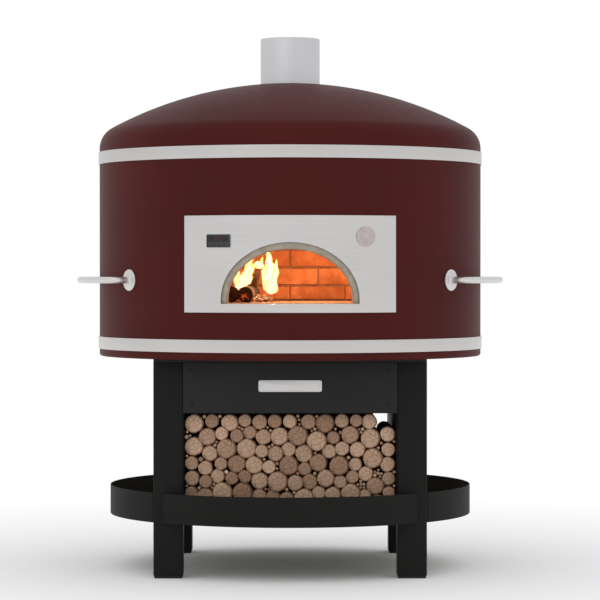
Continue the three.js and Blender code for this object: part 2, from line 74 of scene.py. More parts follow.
DRUM_RADIUS = PAN_HIGH.x
SHEET = 0.003
FLOOR_Z = FLOOR_HIGH.z
CHAMBER_RADIUS = 0.560
BRICK = COURSE_HIGH.x - CHAMBER_RADIUS
DOME_APEX = 1.903
DOME_CAP = 1.475
DOME_SHOULDER = 0.090
MOUTH_HALF = 0.257
MOUTH_TOP = 1.268
SPRINGING = FLOOR_Z + 0.015
THROAT_HALF = 0.233
THROAT_TOP = 1.243
VAULT_RISE = 0.228
PLATE_HALF_ANGLE = 31.4
ARCH_THICK = ARCH_HIGH.x - THROAT_HALF
PANEL_ANGLE = -20.5
BADGE_ANGLE = 21.7
RAIL_ENDS = (54.0, 126.0)
CORNERS = {"front_left": (-1, -1), "front_right": (1, -1), "rear_left": (-1, 1), "rear_right": (1, 1)}

# ---------------------------------------------------------------- small geometry helpers


def around(radius, degrees, height=0.0):
    """A point at this radius and angle round the drum, counted from the front towards +X."""
    angle = math.radians(degrees)
    return Vector((radius * math.sin(angle), -radius * math.cos(angle), height))


def rounded(points, radius, steps=3):
    """A closed outline with each corner rounded off."""
    out = []
    for index, point in enumerate(points):
        here = Vector(point)
        before = Vector(points[index - 1]) - here
        after = Vector(points[(index + 1) % len(points)]) - here
        start = here + before.normalized() * min(radius, before.length * 0.45)
        stop = here + after.normalized() * min(radius, after.length * 0.45)
        for step in range(steps + 1):
            t = step / steps
            out.append(start.lerp(here, t).lerp(here.lerp(stop, t), t))
    return out


def inset(outline, amount):
    """An anticlockwise outline moved inwards by this amount."""
    out = []
    for index, point in enumerate(outline):
        along = (Vector(outline[(index + 1) % len(outline)]) - Vector(outline[index - 1])).normalized()
        out.append(Vector(point) + Vector((-along.y, along.x)) * amount)
    return out


def turns(count):
    """Equal angles round a full circle."""
    return [2 * math.pi * step / count for step in range(count)]


def rectangle(left, low, right, high, radius, steps):
    """An anticlockwise rectangle with rounded corners."""
    return rounded([(left, low), (right, low), (right, high), (left, high)], radius, steps)


def bridge(bm, one, other, index=0):
    """Quads between two closed loops of the same length."""
    for k in range(len(one)):
        n = (k + 1) % len(one)
        bm.faces.new((one[k], one[n], other[n], other[k])).material_index = index


def skin(bm, rings, closed=False):
    """Quads from each ring to the next, and from the last back to the first if the row is closed."""
    for one, other in zip(rings, rings[1:] + rings[:1] if closed else rings[1:]):
        bridge(bm, one, other)


def capped(bm, rings):
    """A row of rings with a skin over it and a flat cap at each end."""
    skin(bm, rings)
    bm.faces.new(rings[0])
    bm.faces.new(list(reversed(rings[-1])))


def ring(bm, centre, u, v, radius, sides):
    """A circle of vertices in the plane of u and v."""
    return [bm.verts.new(centre + (u * math.cos(a) + v * math.sin(a)) * radius) for a in turns(sides)]


def turned(bm, profile, steps=160, start=0.0, end=360.0):
    """A closed profile of (radius, height) swept round the drum's axis."""
    whole = end - start > 359.999
    count = steps if whole else steps + 1
    angles = [start + (end - start) * index / steps for index in range(count)]
    rows = [[bm.verts.new(around(r, a, z)) for r, z in profile] for a in angles]
    if whole:
        skin(bm, rows, closed=True)
    else:
        capped(bm, rows)


def prism(bm, outline, low, high, place, edge=0.0008):
    """An anticlockwise outline pushed from low to high, with softened rims. place(u, v, w) is a point."""
    levels = (
        (low, edge),
        (low + 0.3 * edge, 0.3 * edge),
        (low + edge, 0.0),
        (high - edge, 0.0),
        (high - 0.3 * edge, 0.3 * edge),
        (high, edge),
    )
    capped(bm, [[bm.verts.new(place(p.x, p.y, w)) for p in inset(outline, back)] for w, back in levels])


def upright(u, v, w):
    """A prism's axes for a piece that stands on its outline."""
    return Vector((u, v, w))


def facing_y(u, v, w):
    """A prism's axes for an outline in the front view, pushed along Y."""
    return Vector((u, w, v))


def facing_x(u, v, w):
    """A prism's axes for an outline in the side view, pushed along X."""
    return Vector((w, u, v))


def slab(bm, low, high, radius=0.002, edge=0.0008, place=upright, steps=3):
    """A box with rounded upright corners and softened rims, in the axes of place."""
    prism(bm, rectangle(low[0], low[1], high[0], high[1], radius, steps), low[2], high[2], place, edge)


def frames_along(points):
    """For each point of a path, two directions square to it that don't twist along it."""
    tangents = []
    for index in range(len(points)):
        before = points[max(index - 1, 0)]
        after = points[min(index + 1, len(points) - 1)]
        tangents.append((after - before).normalized())
    side = tangents[0].orthogonal().normalized()
    out = []
    for tangent in tangents:
        side = (side - tangent * side.dot(tangent)).normalized()
        out.append((side, tangent.cross(side)))
    return out


def swept(bm, points, radii, sides):
    """A round bar along a path, with a flat end at each side."""
    path = zip(points, radii, frames_along(points))
    capped(bm, [ring(bm, point, u, v, radius, sides) for point, radius, (u, v) in path])


def stud(bm, centre, outward, profile, sides=20):
    """A turned stud: profile is (radius, height along outward) from its foot to its crown."""
    outward = outward.normalized()
    u = outward.orthogonal().normalized()
    v = outward.cross(u)
    rings = [ring(bm, centre + outward * height, u, v, radius, sides) for radius, height in profile]
    skin(bm, rings)
    bm.faces.new(list(reversed(rings[0])))
    bm.faces.new(rings[-1])


def link(obj):
    """Puts a new object into the scene."""
    bpy.context.scene.collection.objects.link(obj)


def piece(name, bm, looks, replaces=(), body="oven", sharp=35):
    """Makes the finished mesh a piece that rides on a body."""
    bmesh.ops.remove_doubles(bm, verts=bm.verts, dist=1e-6)
    bmesh.ops.dissolve_degenerate(bm, edges=bm.edges, dist=1e-6)
    bmesh.ops.recalc_face_normals(bm, faces=bm.faces)
    mesh = bpy.data.meshes.new(name)
    bm.to_mesh(mesh)
    bm.free()
    for look in looks:
        mesh.materials.append(look)
    mesh.shade_smooth()
    mesh.set_sharp_from_angle(angle=math.radians(sharp))
    obj = bpy.data.objects.new(name, mesh)
    link(obj)
    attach(obj, body)
    if replaces:
        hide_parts(*replaces)


# ---------------------------------------------------------------- materials


class Look:
    """A node material under construction."""

    def __init__(self, name):
        self.material = bpy.data.materials.new(name)
        self.material.use_nodes = True
        self.nodes = self.material.node_tree.nodes
        self.links = self.material.node_tree.links
        self.shader = self.nodes["Principled BSDF"]
        self.place = self.nodes.new("ShaderNodeTexCoord").outputs["Object"]

    def set(self, **values):
        for socket, value in values.items():
            self.shader.inputs[socket.replace("_", " ")].default_value = value

    def feed(self, socket, value):
        """Links a node's output to a socket, or gives the socket a plain value."""
        if hasattr(value, "is_output"):
            self.links.new(value, socket)
        else:
            socket.default_value = value

    def node(self, kind, inputs=(), **settings):
        made = self.nodes.new("ShaderNode" + kind)
        for key, value in settings.items():
            setattr(made, key, value)
        for socket, value in dict(inputs).items():
            self.feed(made.inputs[socket], value)
        return made

    def scaled(self, scale, source=None):
        return self.node("Mapping", {"Vector": source or self.place, "Scale": scale}).outputs["Vector"]

    def noise(self, scale, detail=4.0, roughness=0.55, source=None):
        inputs = {"Vector": source or self.place, "Scale": scale, "Detail": detail, "Roughness": roughness}
        return self.node("TexNoise", inputs).outputs["Fac"]

    def cells(self, scale, source=None, feature="F1"):
        inputs = {"Vector": source or self.place, "Scale": scale}
        return self.node("TexVoronoi", inputs, feature=feature).outputs["Distance"]

    def ramp(self, value, stops):
        made = self.node("ValToRGB", {"Fac": value})
        elements = made.color_ramp.elements
        while len(elements) < len(stops):
            elements.new(0.5)
        for element, (where, colour) in zip(elements, stops):
            element.position = where
            element.color = (*colour, 1.0)
        return made.outputs["Color"]

    def span(self, value, low, high, start=0.0, end=1.0):
        inputs = {"Value": value, "From Min": start, "From Max": end, "To Min": low, "To Max": high}
        return self.node("MapRange", inputs).outputs["Result"]

    def maths(self, operation, one, other=0.0):
        return self.node("Math", {0: one, 1: other}, operation=operation).outputs["Value"]

    def weighted(self, one, share, other, rest):
        """The sum of two values, each times its own share."""
        return self.maths("ADD", self.maths("MULTIPLY", one, share), self.maths("MULTIPLY", other, rest))

    def mix(self, share, one, other, blend="MIX"):
        made = self.node("Mix", data_type="RGBA", blend_type=blend)
        sockets = {s.name: s for s in made.inputs if s.enabled}
        for name, value in (("Factor", share), ("A", one), ("B", other)):
            self.feed(sockets[name], (*value, 1.0) if isinstance(value, tuple) else value)
        return next(s for s in made.outputs if s.enabled)

    def attribute(self, name, output="Fac"):
        return self.node("Attribute", attribute_name=name).outputs[output]

    def drive(self, socket, value):
        self.links.new(value, self.shader.inputs[socket])

    def paint(self, value, stops):
        """Colours the surface by a ramp over a value."""
        self.drive("Base Color", self.ramp(value, stops))

    def bump(self, value, strength=0.3, distance=0.001):
        made = self.node("Bump", {"Height": value, "Strength": strength, "Distance": distance})
        self.drive("Normal", made.outputs["Normal"])


def powder_coat(name, colour, darker, rough, specular):
    """Baked powder paint: a fine orange peel and faint patches."""
    look = Look(name)
    look.paint(look.noise(2.4, 5.0), ((0.3, darker), (0.72, colour)))
    look.drive("Roughness", look.span(look.noise(35.0, 3.0), rough - 0.05, rough + 0.06))
    look.bump(look.noise(620.0, 2.0, 0.4), 0.12, 0.0006)
    look.set(Specular_IOR_Level=specular)
    return look.material


def brushed_steel(name, along, colour=(0.60, 0.585, 0.575), rough=0.34, streak=1.0):
    """Satin stainless with fine brushing; along holds the scale of the streaks on each axis."""
    look = Look(name)
    streaks = look.noise(1.0, 6.0, 0.7, look.scaled(along))
    pale = tuple(min(1.0, c * (1.0 + 0.10 * streak)) for c in colour)
    dull = tuple(c * (1.0 - 0.12 * streak) for c in colour)
    look.paint(look.weighted(streaks, 0.75, look.noise(3.0, 3.0), 0.25), ((0.3, dull), (0.7, pale)))
    look.drive("Roughness", look.span(streaks, rough - 0.06, rough + 0.10, 0.3, 0.7))
    look.bump(streaks, 0.08, 0.0004)
    look.set(Metallic=1.0)
    return look.material


def plain_polymer(name, colour, rough):
    """Moulded rubber or plastic with a fine grain and faint pale patches."""
    look = Look(name)
    pale = tuple(c * 1.35 + 0.004 for c in colour)
    look.paint(look.noise(14.0, 4.0), ((0.3, colour), (0.75, pale)))
    look.drive("Roughness", look.span(look.noise(60.0, 2.0), rough - 0.06, rough + 0.06))
    look.bump(look.noise(900.0, 2.0), 0.15, 0.0004)
    return look.material


def firebrick():
    """Fired clay: each brick has its own tone, with pits, sand grain and a little soot."""
    look = Look("firebrick")
    white = (1.0, 1.0, 1.0)
    clays = ((0.25, (0.42, 0.155, 0.060)), (0.55, (0.66, 0.27, 0.115)), (0.85, (0.80, 0.42, 0.22)))
    clay = look.ramp(look.noise(26.0, 8.0, 0.65), clays)
    tone = look.ramp(look.attribute("tone"), ((0.0, (0.72, 0.66, 0.62)), (1.0, white)))
    toned = look.mix(1.0, clay, tone, "MULTIPLY")
    soot = look.ramp(look.noise(3.2, 5.0), ((0.42, (0.55, 0.50, 0.47)), (0.62, white)))
    look.drive("Base Color", look.mix(0.8, toned, soot, "MULTIPLY"))
    look.bump(look.weighted(look.noise(140.0, 4.0), 1.0, look.cells(95.0), 0.7), 0.55, 0.0016)
    look.set(Roughness=0.92, Specular_IOR_Level=0.2)
    return look.material


def mortar():
    look = Look("mortar")
    look.paint(look.noise(60.0, 6.0), ((0.3, (0.16, 0.085, 0.05)), (0.75, (0.32, 0.19, 0.12))))
    look.bump(look.noise(220.0, 4.0), 0.7, 0.002)
    look.set(Roughness=0.97, Specular_IOR_Level=0.1)
    return look.material


def cement(name, pale, dull):
    """Cast refractory: sandy, with pores."""
    look = Look(name)
    look.paint(look.noise(48.0, 8.0, 0.7), ((0.3, dull), (0.72, pale)))
    look.bump(look.weighted(look.noise(300.0, 3.0), 1.0, look.cells(70.0), 0.5), 0.4, 0.0012)
    look.set(Roughness=0.93, Specular_IOR_Level=0.2)
    return look.material


def fibre():
    look = Look("ceramic_fibre")
    look.paint(look.noise(9.0, 6.0), ((0.3, (0.62, 0.58, 0.50)), (0.7, (0.80, 0.77, 0.70))))
    look.bump(look.noise(1.0, 6.0, 0.7, look.scaled((160.0, 160.0, 50.0))), 0.6, 0.003)
    look.set(Roughness=1.0)
    return look.material


def bark():
    """Rough bark with ridges that run along the log."""
    look = Look("bark")
    grain = look.attribute("grain", "Vector")
    ridges = look.noise(1.0, 6.0, 0.7, look.scaled((9.0, 9.0, 1.6), grain))
    cracks = look.cells(1.0, look.scaled((7.0, 7.0, 1.5), grain), "DISTANCE_TO_EDGE")
    browns = ((0.35, (0.10, 0.055, 0.032)), (0.6, (0.27, 0.165, 0.10)), (0.85, (0.44, 0.31, 0.215)))
    look.paint(look.weighted(ridges, 1.0, look.attribute("tone"), 0.25), browns)
    look.bump(look.weighted(ridges, 1.0, look.span(cracks, 0.0, 1.0, 0.0, 0.18), 0.8), 0.8, 0.004)
    look.set(Roughness=0.95, Specular_IOR_Level=0.15)
    return look.material


def end_grain():
    """A sawn log end: growth rings round the pith, fibres, cracks and a darker rim of bark."""
    look = Look("end_grain")
    white = (1.0, 1.0, 1.0)
    grain = look.attribute("grain", "Vector")
    wobble = look.node("TexNoise", {"Vector": grain, "Scale": 2.2, "Detail": 3.0}).outputs["Color"]
    shift = look.mix(0.16, (0.0, 0.0, 0.0), wobble)
    bent = look.node("VectorMath", {0: grain, 1: shift}, operation="ADD").outputs["Vector"]
    flat = look.scaled((1.0, 1.0, 0.0), bent)
    away = look.node("VectorMath", {0: flat}, operation="LENGTH").outputs["Value"]
    rings = look.span(look.maths("SINE", look.maths("MULTIPLY", away, 52.0)), 0.0, 1.0, -1.0, 1.0)
    shade = look.weighted(rings, 0.22, look.noise(26.0, 5.0, 0.7, grain), 0.78)
    woods = ((0.25, (0.36, 0.225, 0.15)), (0.55, (0.63, 0.44, 0.315)), (0.85, (0.80, 0.62, 0.48)))
    tones = ((0.0, (0.60, 0.52, 0.47)), (0.55, (0.92, 0.88, 0.85)), (0.93, (1.08, 1.05, 1.03)),
             (1.0, (1.6, 1.65, 1.7)))
    toned = look.mix(1.0, look.ramp(shade, woods), look.ramp(look.attribute("tone"), tones), "MULTIPLY")
    rim = look.ramp(away, ((0.86, white), (0.96, (0.48, 0.36, 0.28))))
    split = look.cells(1.0, look.scaled((1.6, 1.6, 0.0), bent), "DISTANCE_TO_EDGE")
    crack = look.ramp(split, ((0.0, (0.22, 0.16, 0.12)), (0.035, white)))
    look.drive("Base Color", look.mix(1.0, look.mix(1.0, toned, rim, "MULTIPLY"), crack, "MULTIPLY"))
    look.bump(look.weighted(rings, 0.25, look.span(split, 0.0, 1.0, 0.0, 0.05), 1.0), 0.5, 0.0015)
    look.set(Roughness=0.85, Specular_IOR_Level=0.2)
    return look.material


def charred_wood():
    """Burning log: black checked char with glowing lines between the scales."""
    look = Look("burning_wood")
    scales = look.cells(34.0, look.scaled((1.0, 0.55, 1.0)), "DISTANCE_TO_EDGE")
    look.paint(look.noise(40.0, 6.0), ((0.35, (0.010, 0.007, 0.006)), (0.7, (0.055, 0.030, 0.018))))
    lines = look.span(scales, 1.0, 0.0, 0.0, 0.08)
    heat = look.maths("MULTIPLY", lines, look.span(look.noise(9.0, 3.0), 0.0, 1.0, 0.58, 0.75))
    glow = ((0.0, (0.0, 0.0, 0.0)), (0.4, (0.9, 0.12, 0.01)), (1.0, (1.0, 0.45, 0.08)))
    look.drive("Emission Color", look.ramp(heat, glow))
    look.bump(look.span(scales, 0.0, 1.0, 0.0, 0.15), 0.9, 0.003)
    look.set(Roughness=0.95, Emission_Strength=0.8)
    return look.material


def glowing_coal():
    look = Look("embers")
    lumps = look.noise(38.0, 5.0)
    look.paint(look.noise(11.0, 6.0), ((0.35, (0.02, 0.014, 0.012)), (0.7, (0.22, 0.19, 0.17))))
    glow = ((0.50, (0.0, 0.0, 0.0)), (0.62, (0.70, 0.10, 0.02)), (0.76, (1.0, 0.42, 0.10)))
    look.drive("Emission Color", look.ramp(lumps, glow))
    look.bump(lumps, 0.8, 0.003)
    look.set(Roughness=0.97, Emission_Strength=1.2)
    return look.material


def flame():
    """A tongue of fire: pale at its heart, orange along its edges and thin at its tip."""
    look = Look("flame")
    height = look.attribute("height")
    edge = look.attribute("edge")
    wisps = look.noise(1.0, 4.0, 0.6, look.scaled((46.0, 46.0, 17.0)))
    gain = look.maths("ADD", look.maths("MULTIPLY", wisps, 0.9), 0.35)
    heat = look.maths("SUBTRACT", gain, look.weighted(edge, 0.50, height, 0.50))
    glow = ((0.0, (1.0, 0.28, 0.05)), (0.16, (1.0, 0.50, 0.18)), (0.34, (1.0, 0.78, 0.46)),
            (0.52, (0.98, 0.92, 0.70)))
    look.drive("Emission Color", look.ramp(heat, glow))
    tip = look.span(height, 1.0, 0.0, 0.7, 1.0)
    body = look.maths("MULTIPLY", tip, look.span(edge, 1.0, 0.25, 0.55, 1.0))
    look.drive("Alpha", look.maths("MULTIPLY", body, look.span(wisps, 0.45, 1.0, 0.32, 0.52)))
    look.set(Base_Color=(1.0, 0.6, 0.2, 1.0), Roughness=1.0, Specular_IOR_Level=0.0, Emission_Strength=1.02)
    return look.material


def display_glass():
    look = Look("display_window")
    smudge = look.noise(45.0, 5.0)
    look.paint(smudge, ((0.3, (0.006, 0.006, 0.008)), (0.8, (0.016, 0.016, 0.019))))
    look.drive("Roughness", look.span(smudge, 0.08, 0.2))
    look.set(Specular_IOR_Level=0.4)
    return look.material


def display_digits():
    look = Look("display_digits")
    look.paint(look.noise(200.0, 2.0), ((0.2, (0.10, 0.012, 0.010)), (0.8, (0.16, 0.020, 0.014))))
    look.set(Roughness=0.4, Emission_Color=(0.6, 0.05, 0.03, 1.0), Emission_Strength=0.04)
    return look.material


def badge_enamel():
    """Satin enamel with faint patches, for the plain round badge."""
    look = Look("badge_paint")
    look.paint(look.noise(30.0, 5.0), ((0.3, (0.44, 0.375, 0.385)), (0.75, (0.55, 0.485, 0.495))))
    look.drive("Roughness", look.span(look.noise(80.0, 3.0), 0.35, 0.5))
    look.bump(look.noise(700.0, 2.0), 0.1, 0.0004)
    return look.material


RED = powder_coat("red_powder_coat", (0.077, 0.0118, 0.0106), (0.061, 0.0098, 0.0088), 0.46, 0.06)
BLACK = powder_coat("black_powder_coat", (0.0185, 0.0178, 0.0175), (0.0137, 0.0131, 0.0128), 0.52, 0.20)
# A darker copy of the black paint for the legs and the tray's outer walls: painted shade, standing in for the
# shade on the stand's lower parts.
BLACK_PAINTED_SHADE = powder_coat(
    "black_powder_coat_painted_shade", (0.016, 0.0154, 0.0146), (0.0123, 0.0118, 0.0111), 0.56, 0.08
)
# A paler copy of the black paint for the tray's floor and the inner faces of its walls: painted light,
# standing in for the light that falls inside the tray.
BLACK_PAINTED_LIGHT = powder_coat("black_powder_coat_painted_light", (0.165, 0.152, 0.128), (0.115, 0.106, 0.090), 0.75, 0.05)
STEEL_ROUND = brushed_steel("stainless_brushed_round", (2.0, 2.0, 520.0))
STEEL_FLAT = brushed_steel("stainless_brushed_flat", (3.0, 3.0, 420.0), (0.625, 0.61, 0.605), 0.36)
STEEL_FLUE = brushed_steel("flue_steel", (4.0, 4.0, 260.0), (0.65, 0.65, 0.67), 0.44, 0.7)
STEEL_TUBE = brushed_steel("stainless_tube", (420.0, 420.0, 420.0), (0.70, 0.685, 0.67), 0.38, 0.5)
STEEL_PLAIN = brushed_steel("mild_steel", (300.0, 300.0, 300.0), (0.36, 0.35, 0.34), 0.38, 0.8)
RUBBER = plain_polymer("pad_rubber", (0.010, 0.010, 0.010), 0.85)
PLASTIC = plain_polymer("black_plastic", (0.032, 0.032, 0.034), 0.50)
KEY = plain_polymer("key_rubber", (0.040, 0.040, 0.043), 0.75)
FIREBRICK = firebrick()
MORTAR = mortar()
CEMENT = cement("refractory_cement", (0.47, 0.41, 0.34), (0.30, 0.255, 0.205))
CEMENT_FLOOR = cement("hearth_slabs", (0.30, 0.19, 0.12), (0.17, 0.105, 0.07))
FIBRE = fibre()
BARK = bark()
END_GRAIN = end_grain()
CHAR = charred_wood()
EMBER = glowing_coal()
FLAME = flame()
WINDOW = display_glass()
DIGITS = display_digits()
BADGE = badge_enamel()

# ---------------------------------------------------------------- the stand


def make_legs():
    size = LEG_HIGH.x - LEG_LOW.x
    middle = (LEG_HIGH.x + LEG_LOW.x) / 2
    for name, (side_x, side_y) in CORNERS.items():
        x, y = middle * side_x, middle * side_y
        half = size / 2
        bm = bmesh.new()
        slab(bm, (x - half, y - half, LEG_LOW.z), (x + half, y + half, LEG_HIGH.z), 0.008, 0.001, steps=6)
        # The legs take the darker black: painted shade.
        piece(f"leg_{name}_tube", bm, [BLACK_PAINTED_SHADE], [f"leg_{name}"])
        half = (PAD_HIGH.x - PAD_LOW.x) / 2
        bm = bmesh.new()
        slab(bm, (x - half, y - half, PAD_LOW.z), (x + half, y + half, PAD_HIGH.z), 0.008, 0.0015, steps=5)
        piece(f"foot_pad_{name}_rubber", bm, [RUBBER], [f"foot_pad_{name}"])


def make_header(side, name):
    """A folded panel: a skin with a return flange along its top and bottom."""
    outer = side * (-HEADER_LOW.y)
    skin = side * (-HEADER_LOW.y - SHEET)
    lip = side * (-HEADER_HIGH.y)
    low, high = HEADER_LOW.z, HEADER_HIGH.z
    corners = [(outer, low), (outer, high), (lip, high), (lip, high - SHEET), (skin, high - SHEET),
               (skin, low + SHEET), (lip, low + SHEET), (lip, low)]
    if side > 0:
        corners.reverse()
    outline = rounded(corners, 0.0035, 4)
    bm = bmesh.new()
    prism(bm, list(reversed(outline)), HEADER_LOW.x, HEADER_HIGH.x, facing_x, 0.0005)
    head = ((0.0075, 0.0), (0.0075, 0.0014), (0.0062, 0.0030), (0.0036, 0.0040), (0.0006, 0.0043))
    for x in (-0.375, 0.375):
        for z in (low + 0.035, high - 0.035):
            stud(bm, Vector((x, outer, z)), Vector((0, side, 0)), head)
    piece(f"{name}_panel", bm, [BLACK], [name])


def make_stand_panels():
    make_header(-1, "header_front")
    make_header(1, "header_rear")
    for name in ("side_panel_left", "side_panel_right"):
        low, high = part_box(name)
        bm = bmesh.new()
        slab(bm, (low.y, low.z, low.x), (high.y, high.z, high.x), 0.006, 0.0007, facing_x)
        piece(f"{name}_sheet", bm, [BLACK], [name])
    bm = bmesh.new()
    slab(bm, TOP_LOW, TOP_HIGH, 0.010, 0.0014, steps=5)
    piece("top_plate_slab", bm, [BLACK], ["top_plate"])


def tray_floor_outline(radius, gap):
    """A disc with a square notch for each leg, anticlockwise from +X."""
    near = LEG_LOW.x - gap
    far = LEG_HIGH.x + gap
    reach = math.sqrt(radius**2 - far**2)
    sweep = math.degrees(math.atan2(reach, far))
    outline = []
    for quarter in range(4):
        turn = math.radians(90 * quarter)
        arc_steps = 40
        local = []
        for step in range(arc_steps + 1):
            angle = math.radians(-sweep + 2 * sweep * step / arc_steps)
            local.append((radius * math.cos(angle), radius * math.sin(angle)))
        local += [(far, near), (near, near), (near, far)]
        cos, sin = math.cos(turn), math.sin(turn)
        outline += [Vector((x * cos - y * sin, x * sin + y * cos)) for x, y in local]
    return outline


def make_tray():
    bm = bmesh.new()
    outline = tray_floor_outline(TRAY_FLOOR_HIGH.x - 0.0015, 0.0012)
    heights = (TRAY_FLOOR_LOW.z, TRAY_FLOOR_HIGH.z)
    rings = [[bm.verts.new(Vector((p.x, p.y, z))) for p in outline] for z in heights]
    bridge(bm, *rings)
    bm.faces.new(list(reversed(rings[0])))
    bm.faces.new(rings[1])
    # The tray's floor takes the paler black: painted light.
    piece("tray_floor_plate", bm, [BLACK_PAINTED_LIGHT], ["tray_floor"])
    outer = TRAY_HIGH.x
    inner = outer - 0.004
    reach = math.degrees(math.acos(LEG_HIGH.x / inner)) - 0.1
    low, high = TRAY_LOW.z, TRAY_HIGH.z
    profile = rectangle(inner, low, outer, high, 0.0016, 4)
    for index, name in enumerate(("front", "right", "rear", "left")):
        bm = bmesh.new()
        turned(bm, profile, 72, 90 * index - reach, 90 * index + reach)
        # Faces inside the inner radius take the paler black (painted light); the other faces take the darker
        # black (painted shade).
        for face in bm.faces:
            face.material_index = int(face.calc_center_median().xy.length < inner + 0.0005)
        looks = [BLACK_PAINTED_SHADE, BLACK_PAINTED_LIGHT]
        piece(f"tray_wall_{name}_band", bm, looks, [f"tray_wall_{name}"])


def make_name_plate():
    """A blank steel plate with a raised border and two rivets."""
    low, high = NAME_LOW, NAME_HIGH
    bm = bmesh.new()
    slab(bm, (low.x, low.z, low.y + 0.0006), (high.x, high.z, high.y), 0.009, 0.0003, facing_y, 6)
    border = 0.0035
    shape = rectangle(low.x, low.z, high.x, high.z, 0.009, 6)
    rings = []
    for back, depth in ((0.0, 0.0008), (0.0004, 0.0), (border - 0.0004, 0.0), (border, 0.0008)):
        rings.append([bm.verts.new(Vector((p.x, low.y + depth, p.y))) for p in inset(shape, back)])
    skin(bm, rings, closed=True)
    head = ((0.004, 0.0), (0.004, 0.0003), (0.0032, 0.0009), (0.0018, 0.0012), (0.0004, 0.0013))
    middle = (low.z + high.z) / 2
    for x in (low.x + 0.012, high.x - 0.012):
        stud(bm, Vector((x, low.y + 0.0012, middle)), Vector((0, -1, 0)), head)
    piece("name_plate_blank", bm, [STEEL_FLAT], ["name_plate"])


# ---------------------------------------------------------------- the firewood


def push_apart(circles):
    """Moves each overlapping pair of circles half way out of each other."""
    circles.sort(key=lambda item: item[1])
    for index, one in enumerate(circles):
        for other in circles[index + 1:]:
            rise = other[1] - one[1]
            reach = one[2] + other[2]
            if rise > 0.075:
                break
            run = other[0] - one[0]
            apart = math.hypot(run, rise)
            if 1e-9 < apart < reach:
                push = (reach - apart) / 2 / apart
                one[0] -= run * push
                one[1] -= rise * push
                other[0] += run * push
                other[1] += rise * push


def packed_circles(half, low, high, notch, seed):
    """Circles of mixed sizes that fill a bay, but for a notch of (width, floor) at its top right."""
    rng = random.Random(seed)
    across, rows = 13, 7
    circles = []
    for row in range(rows):
        for column in range(across):
            x = -half + 2 * half * (column + 0.5 + 0.25 * (-1) ** row) / across
            z = low + (high - low) * (row + 0.5) / rows
            jitter = rng.uniform(-0.008, 0.008)
            circles.append([x + jitter, z - jitter, rng.choice((0.0255, 0.0280, 0.0305, 0.0340, 0.0380))])
    notch_edge, notch_floor = half - notch[0], notch[1]
    circles = [item for item in circles if item[0] < notch_edge or item[1] < notch_floor]
    for _ in range(120):
        push_apart(circles)
        for item in circles:
            item[0] = min(max(item[0], -half + item[2]), half - item[2])
            item[1] = min(max(item[1], low + item[2]), high - item[2])
            over = item[1] + item[2] - notch_floor
            beside = item[0] + item[2] - notch_edge
            if over > 0 and beside > 0:
                if over < beside:
                    item[1] -= over
                else:
                    item[0] -= beside
    return circles + sticks_between(circles, half, low, high, notch_edge, notch_floor)


def sticks_between(circles, half, low, high, notch_edge, notch_floor):
    """Thin sticks for the gaps that packed circles leave."""
    sticks = []
    step = 0.006
    for row in range(int((high - low) / step)):
        for column in range(int(2 * half / step)):
            x, z = -half + step * (column + 0.5), low + step * (row + 0.5)
            if x > notch_edge - 0.012 and z > notch_floor - 0.012:
                continue
            room = min(half - abs(x), z - low, high - z)
            for other in circles + sticks:
                if room < 0.0050:
                    break
                room = min(room, math.hypot(other[0] - x, other[1] - z) - other[2])
            if room >= 0.0050:
                sticks.append([x, z, room])
    return sticks


def add_log(bm, layers, start, end, radius, rng, sides=22, stations=6):
    """A length of branch with an uneven section, rough bark and two sawn ends."""
    grain, tone = layers
    axis = (end - start).normalized()
    u = axis.orthogonal().normalized()
    v = axis.cross(u)
    seed = Vector((rng.uniform(0, 60), rng.uniform(0, 60), rng.uniform(0, 60)))
    shade = rng.random()
    length = (end - start).length

    def vertex(angle, share, along, height):
        cos, sin = math.cos(angle), math.sin(angle)
        swell = 1.04 - 0.075 * (1.0 + noise.noise(seed + Vector((cos * 1.1, sin * 1.1, along * 2.0))))
        rough = 0.022 * noise.noise(seed + Vector((cos * 5.0, sin * 5.0, along * 22.0)))
        reach = radius * (swell - 0.02 + rough) * share
        made = bm.verts.new(start + axis * height + u * cos * reach + v * sin * reach)
        made[grain] = Vector((cos * share, sin * share, along * 8.0 + seed.x))
        made[tone] = shade
        return made

    angles = turns(sides)
    heights = [length * station / stations for station in range(stations + 1)]
    rings = [[vertex(a, 1.0, height, height) for a in angles] for height in heights]
    skin(bm, rings)
    for ring, height, step in ((rings[0], 0.0, -1), (rings[-1], length, 1)):
        previous = ring
        for share, rise in ((0.955, 0.0016), (0.62, 0.0026), (0.28, 0.0030)):
            lift = step * (rise + 0.0006 * rng.random())
            inner = [vertex(a, share, height, height + lift) for a in angles]
            bridge(bm, previous, inner, 1)
            previous = inner
        bm.faces.new(previous).material_index = 1


def log_layers(bm):
    return bm.verts.layers.float_vector.new("grain"), bm.verts.layers.float.new("tone")


def make_firewood():
    """Two piles of cut branches. Logs are missing at the top right, one in front and two behind."""
    for name, notch_floor, seed in (("front", 0.572, 11), ("rear", 0.526, 29)):
        low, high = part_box(f"firewood_{name}")
        high.z = HEADER_LOW.z - 0.003
        half = high.x - 0.0005
        rng = random.Random(seed + 1)
        bm = bmesh.new()
        layers = log_layers(bm)
        for x, z, radius in packed_circles(half, low.z, high.z - 0.0005, (0.070, notch_floor), seed):
            near = low.y + 0.001 + rng.uniform(0.0, 0.014)
            far = high.y - 0.004 - rng.uniform(0.0, 0.03)
            drift = Vector((rng.uniform(-0.001, 0.001), 0, rng.uniform(-0.001, 0.001)))
            sides = 22 if radius > 0.02 else 12
            swell = min(1.06, (half - abs(x)) / radius, (z - low.z) / radius, (high.z - z) / radius)
            start, end = Vector((x, near, z)) + drift, Vector((x, far, z)) - drift
            add_log(bm, layers, start, end, radius * max(swell, 1.0), rng, sides)
        piece(f"firewood_{name}_logs", bm, [BARK, END_GRAIN], [f"firewood_{name}"], sharp=50)


# ---------------------------------------------------------------- the drum


